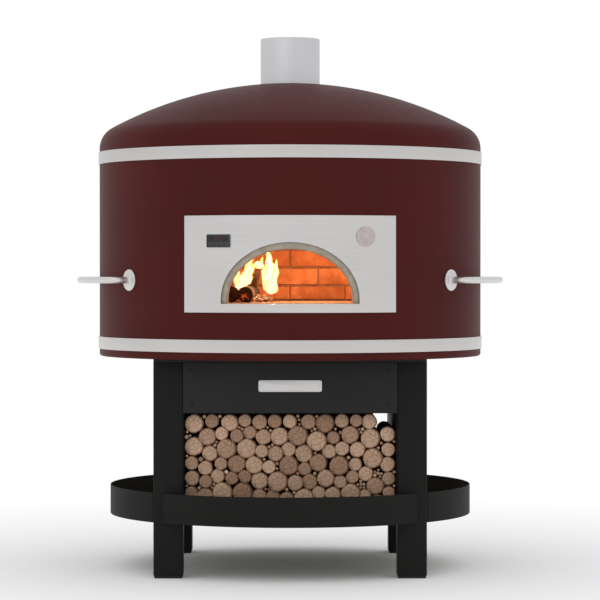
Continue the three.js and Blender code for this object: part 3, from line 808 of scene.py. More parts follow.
def dome_outline(back, steps=30):
    """The dome cover's (radius, height) line from its rim to the flue hole, moved in by back."""
    wall = DRUM_RADIUS - back
    cap = DOME_CAP - back
    bend = DOME_SHOULDER - back
    centre = DOME_APEX - DOME_CAP
    bend_r = wall - bend
    bend_z = centre + math.sqrt((cap - bend) ** 2 - bend_r**2)
    bend_end = math.atan2(bend_z - centre, bend_r)
    cap_end = math.acos((PIPE_HIGH.x + 0.0012) / cap)
    line = [(wall, DOME_LOW.z)]
    for step in range(13):
        angle = bend_end * step / 12
        line.append((bend_r + bend * math.cos(angle), bend_z + bend * math.sin(angle)))
    for step in range(1, steps + 1):
        angle = bend_end + (cap_end - bend_end) * step / steps
        line.append((cap * math.cos(angle), centre + cap * math.sin(angle)))
    return line


def make_shells():
    bottom, top = PAN_LOW.z, PAN_HIGH.z
    bend = 0.010
    rim = [(DRUM_RADIUS - bend + bend * math.sin(a), bottom + bend - bend * math.cos(a))
           for a in (math.pi / 2 * step / 8 for step in range(9))]
    inner = DRUM_RADIUS - SHEET
    bm = bmesh.new()
    inside = [(inner, top), (inner, bottom + 0.006), (0.0, bottom + 0.006)]
    turned(bm, [(0.0, bottom), *rim, (DRUM_RADIUS, top), *inside])
    piece("base_pan_shell", bm, [RED], ["base_pan"])
    bm = bmesh.new()
    turned(bm, [*dome_outline(0.0), *reversed(dome_outline(SHEET))], 192)
    piece("dome_cover_shell", bm, [RED], ["dome_cover"], sharp=40)
    make_drum_shell()


def make_drum_shell():
    """The drum's wall with a window for the mouth, which the front plate covers."""
    inner = DRUM_RADIUS - SHEET
    low, high = SHELL_LOW.z, SHELL_HIGH.z
    window = 22.5
    sill, head = FLOOR_Z - 0.016, 1.330
    steps = 160
    levels = [low, sill, head, high]
    bm = bmesh.new()
    grid = {}

    def vertex(side, column, row):
        key = (side, column % steps, row)
        if key not in grid:
            radius = DRUM_RADIUS if side else inner
            grid[key] = bm.verts.new(around(radius, 360 * column / steps, levels[row]))
        return grid[key]

    def is_open(column, row):
        middle = (360 * (column + 0.5) / steps + 180) % 360 - 180
        return row == 1 and abs(middle) < window

    def quad(*corners):
        bm.faces.new([vertex(*corner) for corner in corners])

    for column in range(steps):
        for row in range(3):
            if is_open(column, row):
                continue
            right, up = column + 1, row + 1
            quad((1, column, row), (1, right, row), (1, right, up), (1, column, up))
            quad((0, column, row), (0, column, up), (0, right, up), (0, right, row))
            if row == 0 or is_open(column, row - 1):
                quad((0, column, row), (0, right, row), (1, right, row), (1, column, row))
            if row == 2 or is_open(column, up):
                quad((0, column, up), (1, column, up), (1, right, up), (0, right, up))
            if is_open(column - 1, row):
                quad((0, column, row), (1, column, row), (1, column, up), (0, column, up))
            if is_open(right, row):
                quad((0, right, row), (0, right, up), (1, right, up), (1, right, row))
    piece("drum_shell_wall", bm, [RED], ["drum_shell"])


def make_bands():
    """Two stainless straps, each drawn tight at the rear by a clasp with a bolt."""
    for name in ("lower", "upper"):
        low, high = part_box(f"band_{name}")
        inner, outer = DRUM_RADIUS + 0.0002, -low.y - 0.0004
        profile = rectangle(inner, low.z, outer, high.z, 0.0012, 4)
        bm = bmesh.new()
        turned(bm, profile, 190, -178.5, 178.5)
        piece(f"band_{name}_strap", bm, [STEEL_ROUND], [f"band_{name}"])
        clasp_low, clasp_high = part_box(f"band_clasp_{name}")
        face = clasp_high.y - 0.002
        profile = rectangle(outer, clasp_low.z, face, clasp_high.z, 0.001, 3)
        bm = bmesh.new()
        turned(bm, profile, 12, 173.2, 179.2)
        turned(bm, profile, 12, 180.8, 186.8)
        middle = (clasp_low.z + clasp_high.z) / 2
        head = ((0.005, 0.0), (0.005, 0.0006), (0.0042, 0.0016), (0.0024, 0.0022), (0.0005, 0.0024))
        for at in (174.3, 177.0, 183.0, 185.7):
            for lift in (-0.010, 0.010):
                spot = around(face - 0.0004, at, middle + lift)
                stud(bm, spot, Vector((spot.x, spot.y, 0)), head, 14)
        swept(bm, [around(face - 0.001, at, middle) for at in (178.6, 180.0, 181.4)], [0.0028] * 3, 14)
        piece(f"band_clasp_{name}_bolted", bm, [STEEL_TUBE], [f"band_clasp_{name}"])


# ---------------------------------------------------------------- the front plate and the mouth


def in_mouth(u, v):
    """Tells whether a point of the front view lies in the mouth's outline."""
    if v < FLOOR_Z:
        return False
    if v <= SPRINGING:
        return abs(u) <= MOUTH_HALF
    return (u / MOUTH_HALF) ** 2 + ((v - SPRINGING) / (MOUTH_TOP - SPRINGING)) ** 2 <= 1.0


def edge_along(inside, centre, angle):
    """Where a ray from the centre leaves an outline, to within rounding, found by halving."""
    near, far = 0.0, 1.0
    run = Vector((math.cos(angle), math.sin(angle)))
    for _ in range(44):
        middle = (near + far) / 2
        spot = centre + run * middle
        if inside(spot.x, spot.y):
            near = middle
        else:
            far = middle
    return centre + run * near


def make_front_plate():
    """The plate, as rings of faces from the mouth out to its rim, rolled to the drum's curve."""
    radius = DRUM_RADIUS + 0.0012
    face = -PLATE_LOW.y
    half_width = face * math.sin(math.radians(PLATE_HALF_ANGLE))
    centre = Vector((0.0, FLOOR_Z + 0.095))

    def in_plate(u, v):
        return abs(u) <= half_width and PLATE_LOW.z <= v <= PLATE_HIGH.z

    marks = [(s * half_width, z) for s in (-1, 1) for z in (PLATE_LOW.z, PLATE_HIGH.z)]
    marks += [(s * MOUTH_HALF, z) for s in (-1, 1) for z in (FLOOR_Z, SPRINGING)]
    angles = {round(math.atan2(z - centre.y, u) % (2 * math.pi), 6) for u, z in marks}
    angles |= {round(2 * math.pi * k / 200, 6) for k in range(200)}
    shares = [0.0, 0.004, 0.012] + [0.012 + 0.976 * step / 26 for step in range(1, 26)] + [0.988, 0.996, 1.0]
    soft = [0.0014, 0.0004] + [0.0] * (len(shares) - 4) + [0.0004, 0.0014]
    bm = bmesh.new()
    loops = []
    for angle in sorted(angles):
        hole = edge_along(in_mouth, centre, angle)
        rim = edge_along(in_plate, centre, angle)
        spots = [hole.lerp(rim, share) for share in shares]
        front = [(p, face - drop) for p, drop in zip(spots, soft)]
        back = [(p, radius) for p in reversed(spots)]
        places = [around(r, math.degrees(math.asin(p.x / face)), p.y) for p, r in front + back]
        loops.append([bm.verts.new(place) for place in places])
    skin(bm, loops, closed=True)
    piece("front_plate_rolled", bm, [STEEL_FLAT], ["front_plate"])


def throat_loop(grow):
    """The throat's outline in the front view, moved out by grow, anticlockwise from its left foot."""
    count = 64
    half = THROAT_HALF + grow
    rise = THROAT_TOP - SPRINGING + grow
    sill = FLOOR_Z - grow
    loop = [Vector((-half + 2 * half * step / 20, sill)) for step in range(21)]
    loop += [Vector((half, sill + (SPRINGING - sill) * step / 3)) for step in (1, 2)]
    for step in range(count + 1):
        angle = math.pi * step / count
        loop.append(Vector((half * math.cos(angle), SPRINGING + rise * math.sin(angle))))
    loop += [Vector((-half, SPRINGING + (sill - SPRINGING) * step / 3)) for step in (1, 2)]
    return loop


def make_mouth_arch():
    """The cast surround of the throat, from behind the front plate to the chamber."""
    front_radius = -ARCH_LOW.y
    thick = ARCH_THICK - 0.0004
    sections = [(thick, 1.0), (thick, 0.0), (0.040, 0.0), (0.016, 0.0), (0.009, 0.008), (0.004, 0.022)]
    sections += [(0.0, share) for share in (0.05, 0.15, 0.3, 0.45, 0.6, 0.75, 0.9, 1.0)]
    bm = bmesh.new()
    loops = []
    for grow, share in sections:
        loop = []
        for spot in throat_loop(grow):
            front = -math.sqrt(front_radius**2 - spot.x**2)
            back = -math.sqrt((CHAMBER_RADIUS + 0.004) ** 2 - spot.x**2)
            y = front + (back - front) * share
            ripple = 0.0012 * noise.noise(Vector((spot.x * 9, y * 9, spot.y * 9)))
            lift = ripple * (0 < grow < 0.05)
            loop.append(bm.verts.new(Vector((spot.x, y + ripple * (grow < 0.05), spot.y + lift))))
        loops.append(loop)
    skin(bm, loops, closed=True)
    piece("mouth_arch_cast", bm, [CEMENT], ["mouth_arch"], sharp=60)


# ---------------------------------------------------------------- the hearth and the chamber


def add_brick(bm, tone, start, end, foot, head, rng):
    """One brick of a turned wall, between two angles and two (radius, height) points of its face."""
    depth, segments = 0.012, 4
    foot, head = Vector(foot), Vector(head)
    along = (head - foot).normalized()
    outward = Vector((along.y, -along.x))
    shade = rng.random()
    set_back = rng.uniform(0.0, 0.0022)
    edge = 0.0045
    joint = 0.0040
    side_joint = 0.0016
    rings = []
    for back, deep in ((joint + edge, 0.0), (joint + 0.35 * edge, 0.0010), (joint, edge), (joint, depth)):
        lean = math.degrees((back - joint + side_joint) / max(foot.x, 0.05))
        low = foot + along * back + outward * (deep + set_back)
        high = head - along * back + outward * (deep + set_back)
        rows = []
        for spot in (low, high):
            row = []
            for step in range(segments + 1):
                angle = start + lean + (end - start - 2 * lean) * step / segments
                place = around(spot.x, angle, spot.y)
                rough = 0.0016 * noise.noise(place * 38.0) * (deep < edge)
                row.append(bm.verts.new(place + Vector((place.x, place.y, 0)).normalized() * rough))
                row[-1][tone] = shade
            rows.append(row)
        rings.append(rows)
    skin(bm, [rows[0] + list(reversed(rows[1])) for rows in rings])
    for rows in (rings[0], rings[-1]):
        for step in range(segments):
            bm.faces.new((rows[0][step], rows[0][step + 1], rows[1][step + 1], rows[1][step]))


def in_throat(angle, height, radius):
    """Whether a brick at this angle would stand in the throat's surround."""
    angle = (angle + 180) % 360 - 180
    if abs(angle) > 90 or height > THROAT_TOP + ARCH_THICK:
        return False
    reach = THROAT_HALF + ARCH_THICK
    rise = THROAT_TOP + ARCH_THICK - SPRINGING
    share = max(0.0, min(1.0, (height - SPRINGING) / rise))
    return abs(radius * math.sin(math.radians(angle))) < reach * math.sqrt(1.0 - share**2)


def brick_ring(bm, tone, foot, head, offset, rng):
    """A ring of bricks, cut short where the throat passes through it."""
    brick_length, parts = 0.235, 8
    radius = (foot[0] + head[0]) / 2
    count = max(5, round(2 * math.pi * radius / brick_length))
    turn = 360 / count
    height = foot[1] + 0.25 * (head[1] - foot[1])
    for index in range(count):
        start = turn * (index + offset)
        clear = [not in_throat(start + turn * (part + 0.5) / parts, height, radius) for part in range(parts)]
        if not any(clear):
            continue
        first = clear.index(True)
        last = parts - clear[::-1].index(True)
        if last - first < 2:
            continue
        add_brick(bm, tone, start + turn * first / parts, start + turn * last / parts, foot, head, rng)


def vault_line(radius, rise, hole, steps):
    """The vault's (radius, height) line from its springing to the hole at its top."""
    last = math.acos(hole / radius)
    angles = [last * step / steps for step in range(steps + 1)]
    return [(radius * math.cos(a), VAULT_LOW.z + rise * math.sin(a)) for a in angles]


def cut_for_throat(bm):
    """Opens the mortar where the throat passes."""
    doomed = []
    for face in bm.faces:
        spot = face.calc_center_median()
        if in_throat(math.degrees(math.atan2(spot.x, -spot.y)), spot.z, CHAMBER_RADIUS):
            doomed.append(face)
    bmesh.ops.delete(bm, geom=doomed, context="FACES")


def make_chamber():
    """Three upright courses and the vault: separate bricks with mortar behind their joints."""
    rng = random.Random(5)
    face = CHAMBER_RADIUS
    for course in (1, 2, 3):
        low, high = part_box(f"brick_course_{course}")
        bm = bmesh.new()
        tone = bm.verts.layers.float.new("tone")
        brick_ring(bm, tone, (face, low.z), (face, high.z), 0.5 * (course % 2), rng)
        piece(f"brick_course_{course}_bricks", bm, [FIREBRICK], [f"brick_course_{course}"])
    bm = bmesh.new()
    tone = bm.verts.layers.float.new("tone")
    line = vault_line(face, VAULT_RISE, 0.120, 8)
    for index, (foot, head) in enumerate(zip(line, line[1:])):
        brick_ring(bm, tone, foot, head, 0.5 * (index % 2), rng)
    piece("chamber_dome_bricks", bm, [FIREBRICK])
    bm = bmesh.new()
    back = face + 0.0085
    wall = [(back, FLOOR_Z + 0.0004 + (VAULT_LOW.z - FLOOR_Z) * k / 12) for k in range(12)]
    inner = wall + vault_line(back, VAULT_RISE + 0.0085, 0.0845, 36)
    outer = [(COURSE_HIGH.x, FLOOR_Z + 0.0004)]
    outer += vault_line(COURSE_HIGH.x, VAULT_RISE + BRICK - 0.003, 0.0845, 36)
    turned(bm, inner + list(reversed(outer)), 180)
    cut_for_throat(bm)
    piece("chamber_mortar", bm, [MORTAR], ["chamber_dome"])


def make_hearth():
    """The cooking floor's slabs, laid in a square grid and trimmed to the round."""
    rng = random.Random(3)
    radius = FLOOR_HIGH.x
    size = 0.300
    joint = 0.0016
    bm = bmesh.new()
    tone = bm.verts.layers.float.new("tone")
    for row in range(-3, 3):
        y0, y1 = row * size + joint, (row + 1) * size - joint
        shift = 0.5 * size if row % 2 else 0.0
        for column in range(-4, 4):
            x0 = column * size + shift + joint
            x1 = x0 + size - 2 * joint
            left, right = [], []
            for step in range(13):
                y = y0 + (y1 - y0) * step / 12
                if abs(y) >= radius:
                    continue
                reach = math.sqrt(radius**2 - y**2)
                if max(x0, -reach) < min(x1, reach) - 0.004:
                    left.append(Vector((max(x0, -reach), y)))
                    right.append(Vector((min(x1, reach), y)))
            if len(left) < 3:
                continue
            top = FLOOR_Z - rng.uniform(0.0, 0.0008)
            first = len(bm.verts)
            prism(bm, right + list(reversed(left)), FLOOR_LOW.z, top, upright, 0.0012)
            bm.verts.ensure_lookup_table()
            shade = 0.35 + 0.65 * rng.random()
            for vertex in bm.verts[first:]:
                vertex[tone] = shade
    piece("hearth_floor_slabs", bm, [CEMENT_FLOOR], ["hearth_floor"])


FLAMES = {
    "flame_left": (
        ((-0.194, -0.050, 1.086), (-0.152, -0.050, 1.232), 0.020, 3),
        ((-0.178, -0.030, 1.092), (-0.166, -0.030, 1.208), 0.016, 5),
        ((-0.210, -0.020, 1.082), (-0.206, -0.020, 1.176), 0.012, 8),
        ((-0.164, -0.060, 1.108), (-0.142, -0.060, 1.200), 0.010, 2),
    ),
    "flame_right": (
        ((-0.078, -0.040, 1.078), (-0.092, -0.040, 1.258), 0.020, 4),
        ((-0.062, -0.055, 1.074), (-0.058, -0.055, 1.212), 0.015, 9),
        ((-0.098, -0.025, 1.085), (-0.110, -0.025, 1.226), 0.013, 6),
        ((-0.082, -0.065, 1.070), (-0.074, -0.065, 1.150), 0.021, 1),
    ),
}


def make_fire():
    """Glowing coals, crossed burning logs and two groups of flames at the left of the floor."""
    rng = random.Random(17)
    middle = (EMBER_LOW + EMBER_HIGH) / 2
    span = (EMBER_HIGH - EMBER_LOW) / 2
    bm = bmesh.new()
    for _ in range(170):
        angle, share = rng.uniform(0, 2 * math.pi), math.sqrt(rng.random())
        size = rng.uniform(0.008, 0.017) * (1.15 - 0.4 * share)
        heap = max(0.0, (1 - share**2)) * (EMBER_HIGH.z - EMBER_LOW.z - 0.012)
        x = middle.x + span.x * 0.94 * share * math.cos(angle)
        y = middle.y + span.y * 0.94 * share * math.sin(angle)
        spot = Vector((x, y, EMBER_LOW.z + size * 0.8 + heap * rng.random()))
        made = bmesh.ops.create_icosphere(bm, subdivisions=2, radius=size)["verts"]
        seed = spot * 91.0
        for vertex in made:
            lump = 1.0 + 0.42 * noise.noise(vertex.co * (1.4 / size) + seed)
            vertex.co = spot + Vector((vertex.co.x, vertex.co.y, vertex.co.z * 0.72)) * lump
            vertex.co.z = max(vertex.co.z, EMBER_LOW.z)
    piece("ember_bed_coals", bm, [EMBER], ["ember_bed"], sharp=45)
    bm = bmesh.new()
    layers = log_layers(bm)
    base = Vector((middle.x, middle.y, FLOOR_Z + 0.052))
    logs = (
        ((-0.040, -0.220, -0.019), (-0.062, 0.140, -0.014), 0.032),
        ((0.016, -0.228, -0.021), (0.040, 0.120, -0.018), 0.030),
    )
    for start, end, radius in logs:
        add_log(bm, layers, base + Vector(start), base + Vector(end), radius * 1.06, rng, 26, 14)
    piece("fire_logs_charred", bm, [CHAR, CHAR], ["fire_logs"], sharp=50)
    bm = bmesh.new()
    layers = log_layers(bm)
    foot, head = base + Vector((0.038, 0.070, 0.006)), base + Vector((0.066, -0.070, 0.092))
    add_log(bm, layers, foot, head, 0.021, rng, 26, 10)
    piece("fire_log_leaning", bm, [BARK, END_GRAIN], sharp=50)
    for name, tongues in FLAMES.items():
        bm = bmesh.new()
        layers = bm.verts.layers.float.new("height"), bm.verts.layers.float.new("edge")
        for foot, tip, width, seed in tongues:
            add_tongue(bm, layers, Vector(foot), Vector(tip), width, seed)
        piece(name, bm, [FLAME], sharp=180)


def add_tongue(bm, layers, foot, tip, width, seed):
    """A flattened tongue from its foot to its wavering tip, with smaller licks along its edges."""
    level, edge = layers
    sides, stations = 28, 40
    rings = []
    for station in range(stations + 1):
        t = station / stations
        body = math.sin(math.pi * t**0.6) ** 0.8 if 0 < t < 1 else 0.0
        sway = 0.30 * width * math.sin(6.5 * t + seed) + 0.14 * width * math.sin(15.0 * t + 2.0 * seed)
        spine = foot.lerp(tip, t) + Vector((sway, 0.0, 0.0))
        row = []
        for a in turns(sides):
            seat = Vector((math.cos(a) * 1.5, math.sin(a) * 1.1 + seed * 3.7, t * 6.5))
            wave = 1.0 + 0.50 * noise.noise(seat) + 0.22 * noise.noise(seat * 2.6)
            reach = width * body * wave
            row.append(bm.verts.new(spine + Vector((reach * math.cos(a), 0.6 * reach * math.sin(a), 0.0))))
            row[-1][level] = t
            row[-1][edge] = abs(math.cos(a))
        rings.append(row)
    skin(bm, rings)


# ---------------------------------------------------------------- what is on the front plate


def on_drum(angle, radius, height):
    """Turns a point made facing -Y at the origin to its place on the drum."""
    centre = around(radius, angle, height)
    cos, sin = math.cos(math.radians(angle)), math.sin(math.radians(angle))

    def place(u, v, w):
        return centre + Vector((u * cos - w * sin, u * sin + w * cos, v))

    return place


def make_controller():
    """A panel controller: a bezel with a window over three keys, and numerals on the glass."""
    height = (PANEL_LOW.z + PANEL_HIGH.z) / 2
    face = -PLATE_LOW.y
    place = on_drum(PANEL_ANGLE, face, height)
    half_u, half_v = 0.046, 0.024
    depth = 0.006
    key_row, key_pitch, key_half, key_gap = -0.014, 0.020, (0.006, 0.0025), 0.0003
    window_half, window_middle = (0.039, 0.010), 0.007
    bm = bmesh.new()
    shape = rectangle(-half_u, -half_v, half_u, half_v, 0.003, 5)
    prism(bm, shape, -depth + 0.0038, 0.0002, place, 0.0006)
    inner_u, inner_v = half_u - 0.0033, half_v - 0.0033
    slot_low, slot_high = key_row - key_half[1] - key_gap, key_row + key_half[1] + key_gap
    blocks = [(-inner_u, -inner_v, inner_u, slot_low), (-inner_u, slot_high, inner_u, inner_v)]
    left = -inner_u
    for index in range(3):
        middle = (index - 1) * key_pitch
        blocks.append((left, slot_low, middle - key_half[0] - key_gap, slot_high))
        left = middle + key_half[0] + key_gap
    blocks.append((left, slot_low, inner_u, slot_high))
    for left, low, right, high in blocks:
        slab(bm, (left, low, -depth + 0.002), (right, high, -depth + 0.0038), 0.00002, 0.00002, place)
    rim = ((0.0, 0.0039), (0.0, 0.0006), (0.0006, 0.0), (0.0026, 0.0), (0.0034, 0.0012), (0.0034, 0.0039))
    rings = [[bm.verts.new(place(p.x, p.y, rise - depth)) for p in inset(shape, back)] for back, rise in rim]
    skin(bm, rings, closed=True)
    box_u, box_v = half_u - 0.003, half_v - 0.003
    slab(bm, (-box_u, -box_v, 0.0), (box_u, box_v, 0.055), 0.002, 0.0006, place)
    piece("controller_bezel", bm, [PLASTIC], ["controller_housing"])
    bm = bmesh.new()
    low = (-window_half[0], window_middle - window_half[1], -depth + 0.0006)
    high = (window_half[0], window_middle + window_half[1], -depth + 0.0018)
    slab(bm, low, high, 0.0015, 0.0003, place)
    piece("controller_window_pane", bm, [WINDOW], ["controller_window"])
    make_numerals(place, window_middle, -depth + 0.00055)
    for index, name in enumerate(("down", "set", "up")):
        middle = (index - 1) * key_pitch
        bm = bmesh.new()
        low = (middle - key_half[0], key_row - key_half[1], -depth - 0.0013)
        high = (middle + key_half[0], key_row + key_half[1], -depth + 0.0021)
        slab(bm, low, high, 0.0016, 0.0006, place, 4)
        node = f"controller_key_{name}"
        piece(f"{node}_cap", bm, [KEY], [node], f"key_{name}")


SEGMENTS = {
    "3": "abgcd",
    "8": "abcdefg",
    "0": "abcdef",
}


def make_numerals(place, middle, depth):
    """Three seven-segment figures, as a temperature readout has."""
    tall, wide, thick = 0.0125, 0.0070, 0.0013
    half = tall / 2
    bars = {
        "a": ((0, half), (wide, thick)), "d": ((0, -half), (wide, thick)), "g": ((0, 0), (wide, thick)),
        "f": ((-wide / 2, half / 2), (thick, half)), "e": ((-wide / 2, -half / 2), (thick, half)),
        "b": ((wide / 2, half / 2), (thick, half)), "c": ((wide / 2, -half / 2), (thick, half)),
    }
    bm = bmesh.new()
    for index, figure in enumerate("380"):
        origin = (index - 1) * 0.0125
        for bar in SEGMENTS[figure]:
            (x, y), (w, h) = bars[bar]
            w, h = max(thick, w - 0.0018), max(thick, h - 0.0018)
            low = (origin + x - w / 2, middle + y - h / 2, depth - 0.0002)
            high = (origin + x + w / 2, middle + y + h / 2, depth)
            slab(bm, low, high, 0.0003, 0.00005, place, 2)
    piece("controller_numerals", bm, [DIGITS])


def make_badge():
    """A plain round badge: a dished disc with a raised rim and two rings."""
    height = (BADGE_LOW.z + BADGE_HIGH.z) / 2
    radius = (BADGE_HIGH.z - BADGE_LOW.z) / 2
    centre = around(-PLATE_LOW.y + 0.0002, BADGE_ANGLE, height)
    outward = around(1.0, BADGE_ANGLE)
    rim = ((0.0004, 0.0), (0.0, 0.0006), (0.0, 0.0016), (0.0008, 0.0022), (0.0030, 0.0022), (0.0038, 0.0014))
    ridge = ((0.0235, 0.0014), (0.0228, 0.0019), (0.0214, 0.0019), (0.0207, 0.0014))
    boss = ((0.0100, 0.0016), (0.0093, 0.0021), (0.0060, 0.0023), (0.0004, 0.0024))
    profile = [*((radius - back, rise) for back, rise in rim), *ridge, *boss]
    bm = bmesh.new()
    stud(bm, centre, outward, profile, 72)
    piece("round_badge_dished", bm, [BADGE], ["round_badge"])


# ---------------------------------------------------------------- the flue and its damper


def make_flue():
    """The outer pipe with its rolled top rim and its seam, and the liner inside it."""
    outer = PIPE_HIGH.x
    top = PIPE_HIGH.z
    wall = 0.003
    lip = LINER_HIGH.x + 0.0006
    profile = [(outer - wall, PIPE_LOW.z), (outer, PIPE_LOW.z), (outer, top - 0.004),
               (outer - 0.0006, top - 0.0016), (outer - 0.0022, top), (lip, top), (lip, top - wall),
               (outer - wall, top - wall)]
    bm = bmesh.new()
    turned(bm, profile, 128)
    seam = 0.0008
    ridge = rectangle(outer - 0.001, PIPE_LOW.z, outer + seam, top - 0.004, 0.0005, 2)
    turned(bm, ridge, 4, 150.0, 152.2)
    piece("flue_pipe_outer", bm, [STEEL_FLUE], ["flue_pipe"])
    bm = bmesh.new()
    inner = LINER_HIGH.x - wall
    profile = rectangle(inner, LINER_LOW.z, LINER_HIGH.x, LINER_HIGH.z, 0.0008, 2)
    turned(bm, profile, 96)
    piece("flue_liner_tube", bm, [STEEL_FLUE], ["flue_liner"])


def make_damper():
    """The damper's disc, its spindle with two clamps, and a lever with a turned knob."""
    middle = (PLATE_DAMPER_LOW + PLATE_DAMPER_HIGH) / 2
    radius = (PLATE_DAMPER_HIGH.z - PLATE_DAMPER_LOW.z) / 2
    bm = bmesh.new()
    disc = [Vector((radius * math.cos(a), middle.z + radius * math.sin(a))) for a in turns(72)]
    prism(bm, disc, PLATE_DAMPER_LOW.x, PLATE_DAMPER_HIGH.x, facing_x, 0.0005)
    head = ((0.006, 0.0), (0.006, 0.0025), (0.0045, 0.0035), (0.0006, 0.0037))
    for y in (-0.035, 0.035):
        stud(bm, Vector((PLATE_DAMPER_HIGH.x - 0.0004, y, middle.z)), Vector((1, 0, 0)), head, 6)
    piece("damper_disc", bm, [STEEL_PLAIN], ["damper_plate"], "flue_damper")
    bm = bmesh.new()
    bar = (SPINDLE_HIGH.z - SPINDLE_LOW.z) / 2
    ends = [(SPINDLE_LOW.y, 0.8), (SPINDLE_LOW.y + 0.001, 1.0),
            (SPINDLE_HIGH.y - 0.001, 1.0), (SPINDLE_HIGH.y, 0.8)]
    swept(bm, [Vector((0, y, middle.z)) for y, _ in ends], [bar * share for _, share in ends], 24)
    piece("damper_spindle_bar", bm, [STEEL_PLAIN], ["damper_spindle"], "flue_damper")
    bm = bmesh.new()
    low, high = HANDLE_LOW, HANDLE_HIGH
    knob_radius = (high.x - low.x) / 2
    knob_z = high.z - knob_radius
    neck_z = knob_z + 0.002
    lever = rounded([(-0.008, low.z), (0.008, low.z), (0.0065, neck_z), (-0.0065, neck_z)], 0.005, 5)
    prism(bm, lever, low.y, low.y + 0.005, facing_y, 0.0008)
    long = high.y - low.y
    neck = ((0.006, 0.004), (0.006, 0.010), (0.0095, 0.013), (knob_radius, 0.019), (knob_radius, 0.026))
    knob = (*neck, (0.0105, long - 0.0022), (0.006, long - 0.0004), (0.0006, long))
    stud(bm, Vector((0, low.y, knob_z)), Vector((0, 1, 0)), knob, 32)
    nut = ((0.0075, 0.004), (0.0075, 0.009), (0.006, 0.0102), (0.0006, 0.0104))
    stud(bm, Vector((0, low.y, middle.z)), Vector((0, 1, 0)), nut, 6)
    piece("damper_lever", bm, [BLACK], ["damper_handle"], "flue_damper")


# ---------------------------------------------------------------- the side rails


def rail_points(side):
    """The rail's centreline: out from one flange, round the drum and in to the other."""
    tube = (RAIL_HIGH.z - RAIL_LOW.z) / 2
    line = RAIL_HIGH.x - tube + 0.0005
    height = (RAIL_HIGH.z + RAIL_LOW.z) / 2
    bend = 0.036
    lean = math.degrees(bend / line)
    start, end = RAIL_ENDS

    def corner(at, inward):
        out = []
        for step in range(9):
            angle = math.pi / 2 * step / 8
            radius = line - bend + bend * math.sin(angle)
            out.append(around(radius, side * (at + inward * lean * (1 - math.cos(angle))), height))
        return out

    sweep = [start + lean + (end - start - 2 * lean) * step / 60 for step in range(1, 60)]
    points = [around(DRUM_RADIUS + 0.004, side * start, height)] + corner(start, 1)
    points += [around(line, side * at, height) for at in sweep]
    points += list(reversed(corner(end, -1))) + [around(DRUM_RADIUS + 0.004, side * end, height)]
    return points, tube


def make_rails():
    for name, side in (("left", -1), ("right", 1)):
        points, tube = rail_points(side)
        bm = bmesh.new()
        swept(bm, points, [tube] * len(points), 28)
        piece(f"rail_{name}_tube", bm, [STEEL_TUBE], [f"rail_{name}"])
        height = (RAIL_HIGH.z + RAIL_LOW.z) / 2
        for place, at in zip(("front", "rear"), RAIL_ENDS):
            node = f"rail_flange_{name}_{place}"
            low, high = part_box(node)
            radius = (high.z - low.z) / 2
            foot = around(DRUM_RADIUS - 0.0008, side * at, height)
            rim = ((0.001, 0.0), (0.0, 0.001), (0.0, 0.0048), (0.0014, 0.0066), (0.004, 0.0072))
            collar = ((0.010, 0.0074), (0.0055, 0.0082), (0.0030, 0.0105), (0.0018, 0.0140), (0.0004, 0.0150))
            profile = [(radius - back, rise) for back, rise in rim]
            profile += [(tube + beyond, rise) for beyond, rise in collar]
            bm = bmesh.new()
            outward = around(1.0, side * at)
            stud(bm, foot, outward, profile, 48)
            across = Vector((0, 0, 1)).cross(outward).normalized()
            head = ((0.0042, 0.0), (0.0042, 0.0009), (0.0034, 0.0018), (0.0018, 0.0023), (0.0004, 0.0025))
            for turn in (math.radians(90), math.radians(210), math.radians(330)):
                away = across * math.cos(turn) + Vector((0, 0, 1)) * math.sin(turn)
                stud(bm, foot + away * 0.029 + outward * 0.0070, outward, head, 16)
            piece(f"{node}_turned", bm, [STEEL_TUBE], [node])


def make_gland():
    low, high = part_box("cable_gland")
    centre = Vector(((low.x + high.x) / 2, (low.y + high.y) / 2, high.z))
    bm = bmesh.new()
    down = Vector((0, 0, -1))
    stud(bm, centre, down, ((0.007, 0.0), (0.007, 0.0065)), 24)
    nut = ((0.0128, 0.0), (0.0138, 0.0008), (0.0138, 0.0072), (0.0128, 0.0080))
    stud(bm, centre + down * 0.0063, down, nut, 6)
    dome = ((0.0118, 0.0), (0.0118, 0.0060), (0.0100, 0.0105),
            (0.0072, 0.0130), (0.0050, 0.0134), (0.0048, 0.0100))
    stud(bm, centre + down * 0.0143, down, dome, 24)
    piece("cable_gland_moulded", bm, [PLASTIC], ["cable_gland"])


def dress_hidden_nodes():
    """The carried-over CAD pieces inside the drum get real finishes too."""
    looks = {
        "hearth_insulation": FIBRE,
        "insulation_blanket": FIBRE,
        "flue_collar": STEEL_PLAIN,
        "thermocouple_probe": STEEL_TUBE,
        "thermocouple_lead": PLASTIC,
    }
    for name, look in looks.items():
        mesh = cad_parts[name].data
        mesh.materials.clear()
        mesh.materials.append(look)


# ---------------------------------------------------------------- camera, floor and light


def make_camera():
    """A long lens in front of the oven, a little above the cooking floor, turned slightly down and right."""
    distance, eye_height = 10.730, 1.1556
    tilt, turn = 0.580, -0.208
    data = bpy.data.cameras.new("camera")
    data.lens = 162.4
    data.sensor_width = 36.0
    data.clip_end = 200.0
    camera = bpy.data.objects.new("camera", data)
    camera.location = (0.0, -distance, eye_height)
    camera.rotation_euler = (math.radians(90.0 - tilt), 0.0, math.radians(turn))
    link(camera)
    bpy.context.scene.camera = camera


